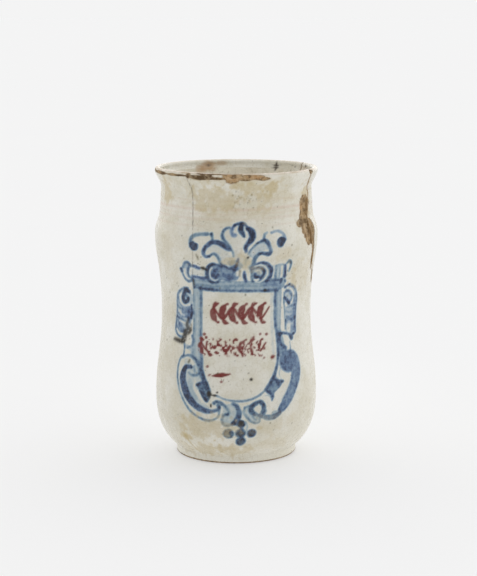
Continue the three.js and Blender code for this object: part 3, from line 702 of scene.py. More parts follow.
# %% Paint stains, specks and the hairline crack
brush([(-32.8, 189), (-30.7, 176), (-30, 163), (-28, 148), (-29.2, 131), (-30.5, 112.5)],
      (0.42, 0.34, 0.3, 0.26), (0.95, 0.8, 0.75, 0.5), layer="hair", edge=0.28)
brush([(-46.5, 70), (-45.4, 68), (-43.5, 66.5)], 0.35, 0.7, layer="hair", edge=0.28)
dot(9.5, 59.5, 0.9, 0.95, "soot")
dot(25, 73, 1.3, 0.9, "red")
stain(15, 27, 2.2, 1.6, 0.5, "ochre", 0.5, 71)
stain(-37, 18, 2.6, 2.4, 0.75, "ochre", 0.5, 72)
brush([(-40.6, 22.5), (-37, 17.5), (-33.5, 10.5), (-31, 6.5)], (0.7, 1.4, 0.6), (0.6, 0.9, 0.6),
      layer="ochre")
stain(-37.4, 18.6, 1.6, 1.4, 0.6, "olive", 0.6, 73)
ochre_places = [  # azimuth mm, height, half width, half height, strength
    (-58, 179, 8, 9, 0.62), (12, 183, 18, 4.4, 0.50), (-14, 176, 20, 8, 0.50), (2, 187, 34, 3.4, 0.34),
    (18, 176, 5, 8, 0.30), (50, 125, 11, 11, 0.26), (58, 170, 7, 16, 0.62), (-2, 166, 26, 6, 0.22),
    (33, 139, 9, 5, 0.24), (-4, 10, 15, 6, 0.42), (26, 14, 18, 5, 0.22), (-50, 140, 7, 22, 0.12),
    (41, 121, 4, 8, 0.40), (-20, 28, 20, 9, 0.48), (-20, 10, 17, 6, 0.50), (-47, 9, 12, 6, 0.34),
    (20, 30, 16, 8, 0.20), (-36, 19, 5, 3.4, 0.7), (22, 182, 7, 4, 0.40), (16, 178, 7, 3, 0.34),
    (3, 137, 7, 6, 0.34), (-20, 186, 9, 3, 0.34), (14, 131, 6, 4, 0.30), (-52, 186, 8, 3, 0.3),
    (30, 176, 14, 5, 0.2)]
for place in ochre_places:
    stain(*place, "ochre", 0.8, 75)
on_the_neck = ramp(Z, 152, 163) * ramp(-Z, -189, -178)
streaks = ramp(rough_cloud(S * 0.10, Z, 0, 1.8, 87), 0.0, 0.7)      # drawn out sideways by the potter
streaks = streaks * ramp(rough_cloud(S, Z, 0, 22, 89), -0.5, 0.6)
lay("ochre", (slice(None), slice(None)), 0.36 * streaks * on_the_neck)
rust_specks = [  # azimuth mm, height, radius
    (0, 180.4, 0.6), (-2.4, 178, 1.1), (1.6, 177.6, 0.7), (-1, 173.6, 0.9), (2.2, 172.4, 0.5),
    (13.6, 175.6, 0.6), (17, 174, 0.5), (-1.8, 170.6, 0.8), (24, 157.5, 0.9), (7.6, 166.4, 0.5),
    (28.6, 170, 0.6), (-54, 112, 0.9), (-51, 127, 0.6), (-41, 33, 0.5), (13, 185.4, 0.6),
    (41.6, 171, 0.4), (-22, 161, 0.5), (33.4, 44, 0.5), (49, 132, 0.6), (52, 128.6, 0.5)]
for s, z, radius in rust_specks:
    stain(s, z, 0.75 * radius, 0.75 * radius, 0.7, "olive", 0.3, 81)

# %% Freckles: small brown grains, thickest beside the cornice and the pilasters
chance = np.random.default_rng(9)
freckle_places = [  # middle in mm across and up, spread across and up, how many
    (38, 124, 9, 14, 60), (-27, 133, 8, 6, 34), (0, 100, 46, 60, 170), (30, 30, 24, 18, 30),
    (-44, 100, 7, 26, 26), (4, 175, 12, 6, 30)]
for middle_s, middle_z, wide, tall, how_many in freckle_places:
    for _ in range(how_many):
        s = np.clip(chance.normal(middle_s, wide * 0.7), SHEET_LEFT + 4, SHEET_RIGHT - 6)
        z = np.clip(chance.normal(middle_z, tall * 0.6), 6, 180)
        size = 0.24 + 0.55 * chance.random() ** 3
        stain(s, z, size, size, 0.3 + 0.6 * chance.random(), "olive", 0.2)

# %% [markdown]
# ## Where the pot is broken
# Each loss is a shallow bowl of a certain depth, torn at its edge by noise. The deepest of
# them gives one depth at every point of the jar. Where it is deeper than a scratch the glaze
# is gone, and the clay lies at that depth. Losses on the lip are placed by the distance from
# its crest, those on the wall by height.

# %% The depth of every loss
lip_losses = [  # azimuth mm, distance down from the crest, half length, half height, depth
    (-74, 3.4, 4.5, 1.2, 0.8), (-61, 3.7, 9.5, 1.3, 0.9), (-43, 3.7, 10.5, 0.8, 0.7),
    (-31.5, 3.6, 1.8, 2.4, 1.0), (-22, 4.4, 10.5, 1.8, 1.5), (-12, 4.9, 5.5, 1.2, 1.3),
    (-19, 1.5, 7.8, 0.9, 0.9), (-9.5, 1.4, 3.4, 0.7, 0.7), (-2.5, 3.6, 6.6, 4.4, 1.1),
    (5.5, 5.2, 4.6, 1.5, 1.3), (10.5, 3.7, 7.6, 2.4, 1.0), (17, 5.2, 5.0, 1.3, 0.8),
    (59, 2.8, 2.8, 1.9, 1.1), (101, 2.2, 3.2, 1.6, 0.9), (140, 3.0, 4.0, 1.1, 0.8),
    (-150, 2.6, 3.0, 1.2, 0.8), (-112, 3.6, 5.0, 1.0, 0.7), (-97, 2.2, 1.8, 0.9, 0.6),
]
wall_losses = [  # azimuth mm, height, half width, half height, depth
    (57, 170.8, 6.6, 4.6, 1.5), (55, 165.4, 5.6, 5.6, 1.9), (53.8, 160, 5.0, 6.0, 2.1),
    (48, 158.2, 4.0, 2.6, 1.0), (54.4, 153.8, 6.8, 5.6, 1.9), (57, 148, 5.2, 5.4, 1.4),
    (61.6, 154, 5.0, 6.4, 1.5), (61.2, 148, 4.4, 5.4, 1.2), (64.2, 137, 2.1, 11, 0.9),
    (71, 121, 2.0, 4.6, 0.9),
]


def bowl(across, up, half_across, half_up, depth, torn):
    """Depth of one loss: steep at the torn edge and nearly flat in the middle."""
    q = np.hypot(across / half_across, up / half_up) + torn
    return depth * ramp(-q, -1.12, -0.72)


def loss_depth(a, t):
    """Depth knocked off the jar's face at azimuth a (radians) and distance t along the outline."""
    s = a * MEAN_RADIUS
    z = outline_at(t)[1]
    torn = 0.34 * rough_cloud(*on_circle(a), t, 3.2, 91, 4)
    depth = np.zeros(np.shape(s))
    for place, drop, half, tall, deep in lip_losses:
        depth = np.maximum(depth, bowl(s - place, AT_CREST - t - drop, half, tall, deep, torn))
    outside = t < AT_CREST
    for place, height, half, tall, deep in wall_losses:
        depth = np.maximum(depth, bowl(s - place, z - height, half, tall, deep, torn) * outside)
    return depth


# %% [markdown]
# ## The edge of the glued-back piece
# The piece broke out along one wandering line from the rim down the wall and back up. The
# clay and both coats of glaze break along the same line. The distance to it, counted
# positive on the jar's side, tells each piece where to stop.

# %% The line of the break
sherd_edge = [  # azimuth in degrees, distance down from the top
    (64, -8), (64.5, 4), (69, 16), (65.5, 32), (67, 46), (71, 57), (76, 68), (84, 77),
    (93, 75), (101, 63), (107, 44), (114, 24), (118, 6), (118.5, -8)]
break_line = [(math.radians(a) * MEAN_RADIUS, JAR_HEIGHT - drop) for a, drop in sherd_edge]
break_line = curve_through(break_line, 0.4)
wander = break_line[1:-1].T
break_line[1:-1, 0] += 0.5 * cloud(*wander, 0, 5, 97) + 0.25 * cloud(*wander, 0, 1.7, 98)
FAR_FROM_BREAK = 60.0
NEAR_LEFT, NEAR_RIGHT, NEAR_BOTTOM = 45, 120, 95      # outside this, the break is far away


def from_break(a, t):
    """Distance in mm from the line of the break, over 0 outside the glued-back piece."""
    s, z = np.broadcast_arrays(a * MEAN_RADIUS, outline_at(t)[1])
    found = np.full(s.shape, FAR_FROM_BREAK)
    near = (s > NEAR_LEFT) & (s < NEAR_RIGHT) & (z > NEAR_BOTTOM)
    sn, zn = s[near], z[near]
    best = np.full(sn.shape, 1e9)
    inside = np.zeros(sn.shape, bool)
    for (s0, z0), (s1, z1) in zip(break_line, break_line[1:]):
        ds, dz = s1 - s0, z1 - z0
        share = np.clip(((sn - s0) * ds + (zn - z0) * dz) / (ds * ds + dz * dz), 0, 1)
        best = np.minimum(best, (sn - s0 - share * ds) ** 2 + (zn - z0 - share * dz) ** 2)
        crosses = (s0 > sn) != (s1 > sn)
        inside ^= crosses & (zn > z0 + (sn - s0) * dz / (ds if ds else 1))
    found[near] = np.sqrt(best) * np.where(inside, -1, 1)
    return found


# %% [markdown]
# ## Hand-thrown unevenness
# The potter's fingers leave shallow rings, strongest at the neck and the collar, and the
# soft pot sags a little out of round when it is lifted off the wheel. Both are taken off
# the ideal outline, so that the jar stays within its size.

# %% Rings and sag
def unevenness(a, t):
    """How far the real face lies inside the ideal outline, in mm."""
    z = outline_at(t)[1]
    x, y = on_circle(a, MEAN_RADIUS)
    sag = 0.12 * (1 + np.sin(2 * a + 0.6)) + 0.10 * (1 + cloud(x, y, z, 45, 101))
    rings = 0.10 * (1 + cloud(a * 2, 0 * z, z + 2 * a, 3.4, 103)) * (0.35 + 0.65 * ramp(z, 150, 160))
    dents = 0.05 * (1 + rough_cloud(x, y, z, 12, 107))
    return sag + rings + dents


# %% [markdown]
# ## From outline to skin
# A skin is a net of four-sided faces over part of the jar. A field tells which faces are
# kept. Along a border the net's points slide onto the true edge, which gives a smooth
# broken line and no stair steps, and the border is turned down to give the coat its
# thickness. Turning a whole pot with a screw modifier would be simpler, but it could not
# break along a line.

# %% The net
def kept_cells(field):
    """True for each cell of the net whose middle is inside. The net closes round the jar."""
    ring = np.concatenate([field, field[:, :1]], 1)
    return (ring[:-1, :-1] + ring[1:, :-1] + ring[:-1, 1:] + ring[1:, 1:]) / 4 > 0


def slide_to_edge(A, T, keep, kept):
    """Moves the points between kept and dropped cells onto the edge of the field."""
    round_kept = np.concatenate([kept[:, -1:], kept], 1)
    padded = np.pad(round_kept, ((1, 1), (0, 0)), mode="edge")
    corners = np.stack([padded[:-1, :-1], padded[1:, :-1], padded[:-1, 1:], padded[1:, 1:]])
    border = corners.any(0) & ~corners.all(0)
    a, t = A[border], T[border]
    r = outline_at(t)[0]
    small, most = 0.1, 0.45      # mm: the probe's step, and the longest slide in one go
    for _ in range(2):
        value = keep(a, t)
        by_s = (keep(a + small / r, t) - keep(a - small / r, t)) / (2 * small)
        by_t = (keep(a, t + small) - keep(a, t - small)) / (2 * small)
        steep = np.maximum(by_s ** 2 + by_t ** 2, 0.05)
        a = a - np.clip(value * by_s / steep, -most, most) / r
        t = t - np.clip(value * by_t / steep, -most, most)
    A[border], T[border] = a, np.clip(t, T.min(), T.max())


def face_points(A, T, sink):
    """Points in metres of the jar's face, sunk by so many mm."""
    r, z, out_r, out_z = outline_at(T)
    radius = r - out_r * sink
    return np.stack([radius * np.sin(A), -radius * np.cos(A), z - out_z * sink], -1) * MM


def skin(name, columns, rows, keep, sink, edge_depth=0.0, caps=()):
    """A mesh over the kept part of the net, with its borders turned down by edge_depth."""
    A, T = np.meshgrid(columns, rows)
    kept = kept_cells(keep(A, T))
    slide_to_edge(A, T, keep, kept)
    depth = sink(A, T)
    points = face_points(A, T, depth)
    count = A.size
    index = np.arange(count).reshape(A.shape)
    index = np.concatenate([index, index[:, :1]], 1)
    quads = np.stack([index[:-1, :-1], index[:-1, 1:], index[1:, 1:], index[1:, :-1]], -1)
    faces = [quads[kept]]
    where_a, where_t = A.ravel(), T.ravel()
    all_points = points.reshape(-1, 3)
    if edge_depth:
        low_points = face_points(A, T, depth + edge_depth).reshape(-1, 3)
        all_points = np.vstack([all_points, low_points])
        where_a, where_t = np.tile(where_a, 2), np.tile(where_t, 2)
        padded = np.pad(kept, ((1, 1), (0, 0)))
        across = np.concatenate([kept[:, -1:], kept, kept[:, :1]], 1)
        for gone, first, second in (
                (~padded[:-2], 0, 1), (~across[:, 2:], 1, 2), (~padded[2:], 2, 3), (~across[:, :-2], 3, 0)):
            edge = quads[kept & gone]
            p, q = edge[:, first], edge[:, second]
            faces.append(np.stack([q, p, p + count, q + count], -1))
    return build_mesh(name, all_points, np.vstack(faces), where_a, where_t, caps)


# %% [markdown]
# Blender is handed plain arrays, because a mesh of this size takes far too long to make face
# by face. Points that no face uses are left out. The azimuth of each point and its distance
# along the outline are remembered, because the painting and the stains are read by them.

# %% The mesh
SHARP_ANGLE = math.radians(42)
points_of = {}     # for each piece, its points' azimuths and distances along the outline


def build_mesh(name, points, faces, where_a, where_t, caps=()):
    """A mesh object from points and quads. Each point's azimuth and distance go into points_of."""
    used, faces = np.unique(faces, return_inverse=True)
    faces = faces.reshape(-1, 4)
    points, where_a, where_t = points[used], where_a[used], where_t[used]
    triangles = []
    for end in caps:     # closes the middle of the base or the floor
        ring = np.flatnonzero(np.abs(where_t - end) < 1e-6)
        ring = ring[np.argsort(where_a[ring])]
        middle = np.array([[0, 0, points[ring, 2].mean()]])
        points = np.vstack([points, middle])
        where_a, where_t = np.append(where_a, 0), np.append(where_t, end)
        follow = np.roll(ring, -1)
        pair = (follow, ring) if end < AT_CREST else (ring, follow)
        triangles.append(np.stack([*pair, np.full(len(ring), len(points) - 1)], -1))
    triangles = np.vstack(triangles) if triangles else np.zeros((0, 3), int)
    loops = np.concatenate([faces.ravel(), triangles.ravel()])
    starts = np.cumsum(np.r_[0, np.full(len(faces), 4), np.full(len(triangles), 3)])[:-1]
    mesh = bpy.data.meshes.new(name)
    mesh.vertices.add(len(points))
    mesh.vertices.foreach_set("co", points.ravel())
    mesh.loops.add(len(loops))
    mesh.loops.foreach_set("vertex_index", loops)
    mesh.polygons.add(len(starts))
    mesh.polygons.foreach_set("loop_start", starts)
    mesh.update(calc_edges=True)
    mesh.validate()
    mesh.polygons.foreach_set("use_smooth", np.ones(len(mesh.polygons), bool))
    mesh.set_sharp_from_angle(angle=SHARP_ANGLE)
    thing = bpy.data.objects.new(name, mesh)
    bpy.context.scene.collection.objects.link(thing)
    points_of[name] = where_a, where_t
    print(f"{name}: {len(mesh.polygons)} faces")
    return thing


def keep_values(thing, name, values):
    """Stores one number per point, for the material to read."""
    slot = thing.data.attributes.new(name, "FLOAT", "POINT")
    slot.data.foreach_set("value", np.asarray(values, np.float32))


def stand_for(thing, node):
    """The piece takes the place of a node of the frame and rides with it."""
    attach(thing, "root")
    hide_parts(node)


# %% Where the net's columns stand
def marks_along(start, *stretches):
    """Places from start through stretches that are given by their end and their step."""
    marks = [start]
    for end, step in stretches:
        count = max(2, int(round((end - marks[-1]) / step)) + 1)
        marks.extend(np.linspace(marks[-1], end, count)[1:])
    return np.array(marks)


FRONT_LEFT, BREAK_LEFT, FRONT_RIGHT = -62, 50, 112      # fine columns over painting and break
ONCE_ROUND = FRONT_LEFT + 2 * math.pi * MEAN_RADIUS
columns = marks_along(FRONT_LEFT, (FRONT_RIGHT, 0.6), (ONCE_ROUND, 1.5))[:-1] / MEAN_RADIUS
columns_wide = marks_along(FRONT_LEFT, (BREAK_LEFT, 1.6), (FRONT_RIGHT, 0.9), (ONCE_ROUND, 1.5))
columns_wide = columns_wide[:-1] / MEAN_RADIUS


def centred(a):
    """The azimuth between minus half a turn and half a turn."""
    return (a + math.pi) % (2 * math.pi) - math.pi


# %% [markdown]
# ## The coats of glaze
# The outside coat runs from just above the foot over the lip and a little way down the
# inside. It is missing where a loss is deeper than a scratch. Its face sinks slightly
# towards a broken edge, as fired glaze does.

# %% Where each coat stays
def jar_side(a, t):
    """Over 0 on the jar's side of the break."""
    return from_break(centred(a), t) - SEAM_WIDTH / 2


def sherd_side(a, t):
    """Over 0 on the glued-back piece."""
    return -from_break(centred(a), t) - SEAM_WIDTH / 2


def unbroken(a, t):
    """Over 0 where the glaze is whole."""
    return (0.3 - loss_depth(centred(a), t)) * 2.5


def coat_sink(a, t):
    """The face of a coat: uneven, and lower beside a break."""
    worn = 0.10 * np.exp(-np.maximum(unbroken(a, t), 0) / 0.35)
    seam = 0.12 * np.exp(-np.abs(from_break(centred(a), t)) / 0.8)
    return unevenness(centred(a), t) + worn + seam


def over_both(first, second):
    """Kept where both fields keep it."""
    return lambda a, t: np.minimum(first(a, t), second(a, t))


outside_rows = marks_along(AT_GLAZE, (AT_CREST - 8, 0.62), (AT_INSIDE, 0.42))
outside_glaze = skin("outside_glaze", columns, outside_rows, over_both(jar_side, unbroken),
                     coat_sink, GLAZE_THICK)
sherd_rows = outside_rows[outline_at(outside_rows)[1] > NEAR_BOTTOM + 5]
sherd_outside = skin("sherd_outside_glaze", columns, sherd_rows, over_both(sherd_side, unbroken),
                     coat_sink, GLAZE_THICK)

# %% The inside coats
AT_FLOOR_END = float(reach[-1]) - 0.6      # stops beside the floor's middle, which a cap closes
inside_rows = marks_along(AT_INSIDE - 0.3, (AT_INSIDE + 60, 0.9), (AT_FLOOR_END, 1.6))


def inside_sink(a, t):
    """The inside coat, tucked a hair under the outside coat where they meet."""
    return coat_sink(a, t) + 0.04 * ramp(-t, -AT_INSIDE - 0.8, -AT_INSIDE)


inside_glaze = skin("inside_glaze", columns_wide, inside_rows, jar_side, inside_sink, GLAZE_THICK,
                    caps=(AT_FLOOR_END,))
sherd_inside_rows = inside_rows[inside_rows < AT_INSIDE + 84]
sherd_inside = skin("sherd_inside_glaze", columns_wide, sherd_inside_rows, sherd_side, inside_sink,
                    GLAZE_THICK)

# %% [markdown]
# ## The clay
# The clay is one closed body under the coats, and it shows only at the foot, in the losses
# and in the break. There its face is granular, so a fine cloud is added where it is bare.

# %% The clay of the jar and of the glued-back piece
def clay_sink(a, t):
    """The clay's face: just under the glaze, deeper in a loss, and flush at the bare foot."""
    a = centred(a)
    x, y = on_circle(a)
    lost = loss_depth(a, t)
    covered = ramp(t, AT_GLAZE - 0.4, AT_GLAZE + 0.6) * (GLAZE_THICK + 0.05)
    granular = rough_cloud(x, y, t, 1.3, 121, 3)
    bare = ramp(lost, 0.2, 0.5)
    steps = 0.22 * np.round(2.2 * rough_cloud(x, y, t, 5.0, 125, 2))
    return unevenness(a, t) + np.maximum(covered, lost + bare * (0.20 * granular + 0.5 * steps))


AT_BASE = 0.6      # the flat base starts beside its middle, which a cap closes
SHERD_REACH = 92   # how far the sherd's clay reaches from the crest, along the outline
clay_rows = marks_along(AT_BASE, (AT_FOOT - 4, 3.2), (AT_GLAZE + 1.5, 0.5), (AT_GLAZE + 20, 0.8),
                        (AT_CREST - 90, 2.4), (AT_CREST - 58, 1.0), (AT_CREST + 5, 0.55),
                        (AT_CREST + 90, 1.6), (AT_FLOOR_END, 3.6))
jar_clay = skin("jar_clay", columns, clay_rows, jar_side, clay_sink, WALL / 2,
                caps=(AT_BASE, AT_FLOOR_END))
sherd_clay_rows = clay_rows[np.abs(clay_rows - AT_CREST) < SHERD_REACH]
sherd_clay = skin("sherd_clay", columns, sherd_clay_rows, sherd_side, clay_sink, WALL / 2)

# %% [markdown]
# ## The glue
# Old glue fills the break almost to the glaze. It is a ribbon that follows the line of
# the break through the wall: a few points across its face outside, the same inside, and a
# lumpy surface. It could be poured by simulation, but a dried bead is simple enough to model.

# %% The glue ribbon
STRIPS = 6         # faces across the ribbon


def glue_ribbon():
    """A closed ribbon along the break, from the rim down, round and up again."""
    path = break_line[break_line[:, 1] < JAR_HEIGHT - 1.2]
    step = np.gradient(path, axis=0)
    side = np.stack([-step[:, 1], step[:, 0]], 1) / np.hypot(*step.T)[:, None]
    across = np.linspace(-1, 1, STRIPS + 1)
    half = SEAM_WIDTH / 2 + 0.05
    s = path[:, :1] + side[:, :1] * across * half
    z = path[:, 1:] + side[:, 1:] * across * half
    lumps = 0.30 * rough_cloud(s, z, 0, 2.2, 131) + 0.25 * across ** 2
    outside_part = (even > AT_FOOT) & (even < AT_CREST)
    outer_t = np.interp(z, even_z[outside_part], even[outside_part])
    inside_part = even > AT_CREST
    inner_t = np.interp(z, even_z[inside_part][::-1], even[inside_part][::-1])
    a = s / MEAN_RADIUS
    outer = face_points(a, outer_t, unevenness(a, outer_t) + GLUE_SUNK * 0.55 - lumps * 0.8)
    inner_face = face_points(a, inner_t, unevenness(a, inner_t) + GLUE_SUNK + 0.1 - lumps * 0.5)
    ring = np.concatenate([outer, inner_face[:, ::-1]], 1)
    rows, around = ring.shape[:2]
    index = np.arange(rows * around).reshape(rows, around)
    follow = np.roll(index, -1, axis=1)
    quads = np.stack([index[:-1], index[1:], follow[1:], follow[:-1]], -1).reshape(-1, 4)
    ends = []
    for row, flip in ((0, 1), (rows - 1, -1)):
        for k in range(STRIPS):
            ends.append(index[row][[k, k + 1, around - 2 - k, around - 1 - k]][::flip])
    return build_mesh("joint_glue", ring.reshape(-1, 3), np.vstack([quads, ends]),
                      np.tile(a, 2).ravel(), np.concatenate([outer_t, inner_t], 1).ravel())


joint_glue = glue_ribbon()

# %% Each piece takes its node's place
for thing, node, slot in (
        (jar_clay, "clay_body", "clay"),
        (outside_glaze, "outer_glaze", "painted_glaze"),
        (inside_glaze, "inner_glaze", "inside_glaze"),
        (sherd_clay, "mended_sherd", "clay"),
        (sherd_outside, "sherd_outer_glaze", "painted_glaze"),
        (sherd_inside, "sherd_inner_glaze", "inside_glaze"),
        (joint_glue, "mending_glue", "glue")):
    stand_for(thing, node)

# %% [markdown]
# ## The painting goes onto the glaze
# Every point of the outside coats reads the sheet at its own place. The numbers stay on the
# mesh under plain names, so the material can use them like any other input.

# %% Read the sheet at each point
def from_sheet(layer, a, t):
    """The sheet's value at each point; nothing beyond the sheet or over the crest."""
    s, z = centred(a) * MEAN_RADIUS, outline_at(t)[1]
    j, i = (s - sheet_s[0]) / CELL, (z - sheet_z[0]) / CELL
    shown = (j > 0) & (j < len(sheet_s) - 2) & (i > 0) & (i < len(sheet_z) - 2) & (t < AT_CREST)
    j, i = np.clip(j, 0, len(sheet_s) - 2), np.clip(i, 0, len(sheet_z) - 2)
    j0, i0 = j.astype(int), i.astype(int)
    fj, fi = j - j0, i - i0
    v = sheet[layer]
    mixed = ((v[i0, j0] * (1 - fj) + v[i0, j0 + 1] * fj) * (1 - fi)
             + (v[i0 + 1, j0] * (1 - fj) + v[i0 + 1, j0 + 1] * fj) * fi)
    return mixed * shown


def blurred(values, radius):
    """Softens a sheet layer by a box run three times over."""
    n = int(radius / CELL)
    for _ in range(3):
        for axis in (0, 1):
            width = [(0, 0), (0, 0)]
            width[axis] = (n + 1, n)
            total = np.cumsum(np.pad(values, width, mode="edge"), axis=axis)
            values = (np.take(total, range(2 * n + 1, total.shape[axis]), axis)
                      - np.take(total, range(0, total.shape[axis] - 2 * n - 1), axis)) / (2 * n + 1)
    return values


sheet["halo"] = blurred(sheet["blue"], 2.5)
sheet["blush"] = np.clip(blurred(sheet["red"], 0.7) * 1.4, 0, 1)
outside_coats, inside_coats = (outside_glaze, sherd_outside), (inside_glaze, sherd_inside)
for thing in outside_coats:
    for layer in sheet:
        keep_values(thing, layer, from_sheet(layer, *points_of[thing.name]))
print("painting kept on", [len(thing.data.vertices) for thing in outside_coats], "points")

# %% [markdown]
# ## Age on the glaze and the clay, and painted light at the foot
# Dirt lies along broken edges and along the seam, and pinkish lines run round the neck where
# the glaze is thin over the potter's rings. Near the foot the glaze is painted paler: painted
# light, as if from the floor. These are worked out from the same fields that
# shaped the pieces, so they always fit them.

# %% Dirt, thin glaze, the worn lip, and painted light at the foot
def near_break(a, t):
    """1 beside a loss or the seam, fading over a couple of millimetres."""
    a = centred(a)
    spread_out = np.maximum(loss_depth(a, t) / 0.3, np.exp(-np.abs(from_break(a, t)) / 1.3))
    return np.clip(spread_out, 0, 1)


def thin_glaze(a, t):
    """Thin glaze over the rings of the neck, and at the edge of the lip."""
    z = outline_at(t)[1]
    x, y = on_circle(centred(a))
    uneven = 0.5 + 0.5 * rough_cloud(x, y, z * 3, 16, 141)
    rings = sum(strong * np.exp(-((z - height - 0.8 * cloud(x, y, 0, 30, 143)) / wide) ** 2)
                for height, wide, strong in ((169, 1.0, 0.8), (166, 0.6, 0.5), (163, 0.9, 0.55),
                                             (158.5, 0.7, 0.4), (174.5, 0.6, 0.35)))
    lip = np.exp(-((t - AT_CREST + 0.5) / 1.6) ** 2) * 0.55
    return np.clip(rings * uneven + lip * (0.6 + 0.6 * uneven), 0, 1)


def worn_lip(a, t):
    """Where handling has rubbed the glaze of the lip brown, in short runs."""
    s = centred(a) * MEAN_RADIUS
    runs = ramp(rough_cloud(s, t * 3, 0, 7, 149), -0.25, 0.45)
    return 0.85 * runs * np.exp(-((t - AT_CREST + 1.2) / 1.1) ** 2)


for thing in outside_coats + inside_coats:
    a, t = points_of[thing.name]
    keep_values(thing, "dirt", near_break(a, t))
    keep_values(thing, "thin", thin_glaze(a, t))
for thing in outside_coats:
    a, t = points_of[thing.name]
    # low: painted light, the glaze made paler over the lowest 34 mm as if lit from the floor
    keep_values(thing, "low", ramp(-outline_at(t)[1], -34, -4))
    keep_values(thing, "lip", worn_lip(a, t))


# %% Stains and marks in the mouth
def spots(a, t, wanted):
    """Soft spots of colour given by azimuth mm, height, half width, half height and strength."""
    s, z = centred(a) * MEAN_RADIUS, outline_at(t)[1]
    torn = 0.3 * rough_cloud(s, z, 0, 2.4, 151)
    return np.clip(sum(strong * ramp(-np.hypot((s - s0) / w, (z - z0) / h) - torn, -1.2, -0.5)
                       for s0, z0, w, h, strong in wanted), 0, 1)


# Each of these: azimuth mm, height, half width, half height, strength.
RAY_TURN = 1.05      # radians between the rays of a star-shaped crack
rays = [(k * RAY_TURN, share) for k in range(6) for share in (0.2, 0.5, 0.8)]
star = [(133 + 3.4 * math.sin(turned) * share, 188.0 + 2.6 * math.cos(turned) * share, 0.6, 0.6, 0.8)
        for turned, share in rays]
inside_stains = [
    (-143, 188, 6.5, 4.2, 0.9), (-135, 186, 4, 3, 0.7), (-152, 189.6, 5, 1.8, 0.6),
    (101, 188, 5, 3, 0.5)]
inside_marks = star + [
    (-143, 188.4, 2.0, 1.1, 0.6), (118.5, 189.4, 1.2, 0.6, 0.5), (115, 188.8, 0.8, 0.6, 0.5),
    (101, 190.4, 1.6, 1.0, 0.8), (133.4, 190.4, 0.5, 3.2, 0.8)]
for thing in outside_coats + inside_coats:      # the outside coat turns over the lip
    a, t = points_of[thing.name]
    keep_values(thing, "marks", spots(a, t, inside_marks) * (t > AT_CREST))
    keep_values(thing, "stained", spots(a, t, inside_stains) * (t > AT_CREST))

# %% Burnt and rusty clay, and the foot darker at its bottom edge
burnt_places = [
    (-74, 189.5, 6, 2, 0.8), (-56, 189.5, 7, 3, 0.9), (-36, 189.5, 7, 3, 0.9), (-20, 190, 13, 4, 1.0),
    (5, 186.5, 4, 1.4, 0.6), (59, 190.5, 3.5, 3, 0.9), (51.5, 159, 4, 5.0, 0.75), (59, 153, 4, 5, 0.6),
    (52, 151, 3, 3, 0.5), (56, 172, 6, 3, 0.35), (71, 121, 3, 5, 0.7), (47, 158.5, 3, 3, 0.3),
    (-34, 8, 4, 3, 0.4)]
rusty_places = [
    (-3.5, 189, 6, 5, 0.5), (11, 190, 5, 3, 0.75), (53, 167, 3.5, 4.0, 0.6), (56.5, 151, 5, 4.5, 0.25),
    (16, 189, 4, 2, 0.4), (101, 190, 4, 3, 0.5)]
for thing in (jar_clay, sherd_clay):
    a, t = points_of[thing.name]
    # the lowest millimetre and a half of the foot is made darker towards the shelf
    dark_foot_edge = 0.75 * ramp(-outline_at(t)[1], -1.6, -0.9)
    keep_values(thing, "burnt_and_dark_foot", np.maximum(spots(a, t, burnt_places), dark_foot_edge))
    keep_values(thing, "rusty", spots(a, t, rusty_places))

# %% [markdown]
# ## Shared effects
# Several finishes need the same things: soft mottling, small specks, a net of fine cracks
# and a grainy surface. Each is a node group that works in millimetres on the object's own
# coordinates, so it has the right scale on every piece and needs no map.

# %% Helpers for nodes
NUMBER = "NodeSocketFloat"


def shade(red, green, blue):
    """A colour as seen on a paint card, 0 to 255, as linear light."""
    return tuple(((v / 255 + 0.055) / 1.055) ** 2.4 if v > 10 else v / 255 / 12.92
                 for v in (red, green, blue)) + (1.0,)


def add(tree, kind, inputs=None, **settings):
    """A node with its settings and inputs; an input may be a value or another node's output."""
    node = tree.nodes.new(kind)
    for key, value in settings.items():
        setattr(node, key, value)
    for key, value in (inputs or {}).items():
        if isinstance(value, bpy.types.NodeSocket):
            tree.links.new(value, node.inputs[key])
        else:
            node.inputs[key].default_value = value
    return node


def new_group(name, inputs, output):
    """An empty node group with named number inputs, their first values, and one output."""
    tree = bpy.data.node_groups.new(name, "ShaderNodeTree")
    for key, value in inputs.items():
        tree.interface.new_socket(key, in_out="INPUT", socket_type=NUMBER).default_value = value
    tree.interface.new_socket(output, in_out="OUTPUT", socket_type=NUMBER)
    print(f"group {name}: {', '.join(inputs)} in, {output} out")
    return tree, tree.nodes.new("NodeGroupInput"), tree.nodes.new("NodeGroupOutput")


def maths(tree, operation, a, b=0.0, clamp=False):
    """The output of one sum."""
    return add(tree, "ShaderNodeMath", {0: a, 1: b}, operation=operation, use_clamp=clamp).outputs[0]


def in_mm(tree, size):
    """The object's own coordinates, counted in lumps of the given size in mm."""
    place = add(tree, "ShaderNodeTexCoord").outputs["Object"]
    scale = maths(tree, "DIVIDE", 1000.0, size)
    return add(tree, "ShaderNodeVectorMath", {0: place, "Scale": scale}, operation="SCALE").outputs[0]


def remap(tree, value, low, high, to_low=0.0, to_high=1.0):
    """Value from low..high to a new range, with soft ends."""
    return add(tree, "ShaderNodeMapRange", {0: value, 1: low, 2: high, 3: to_low, 4: to_high},
               interpolation_type="SMOOTHSTEP").outputs[0]


# %% Mottling: soft clouds of a chosen size
mottle, given, result = new_group("mottling", {"Size": 10.0, "Low": 0.4, "High": 0.6}, "Mask")
noise = add(mottle, "ShaderNodeTexNoise",
            {"Vector": in_mm(mottle, given.outputs["Size"]), "Scale": 1.0, "Detail": 4.0,
             "Roughness": 0.55})
mottle.links.new(remap(mottle, noise.outputs["Fac"], given.outputs["Low"], given.outputs["High"]),
                 result.inputs["Mask"])

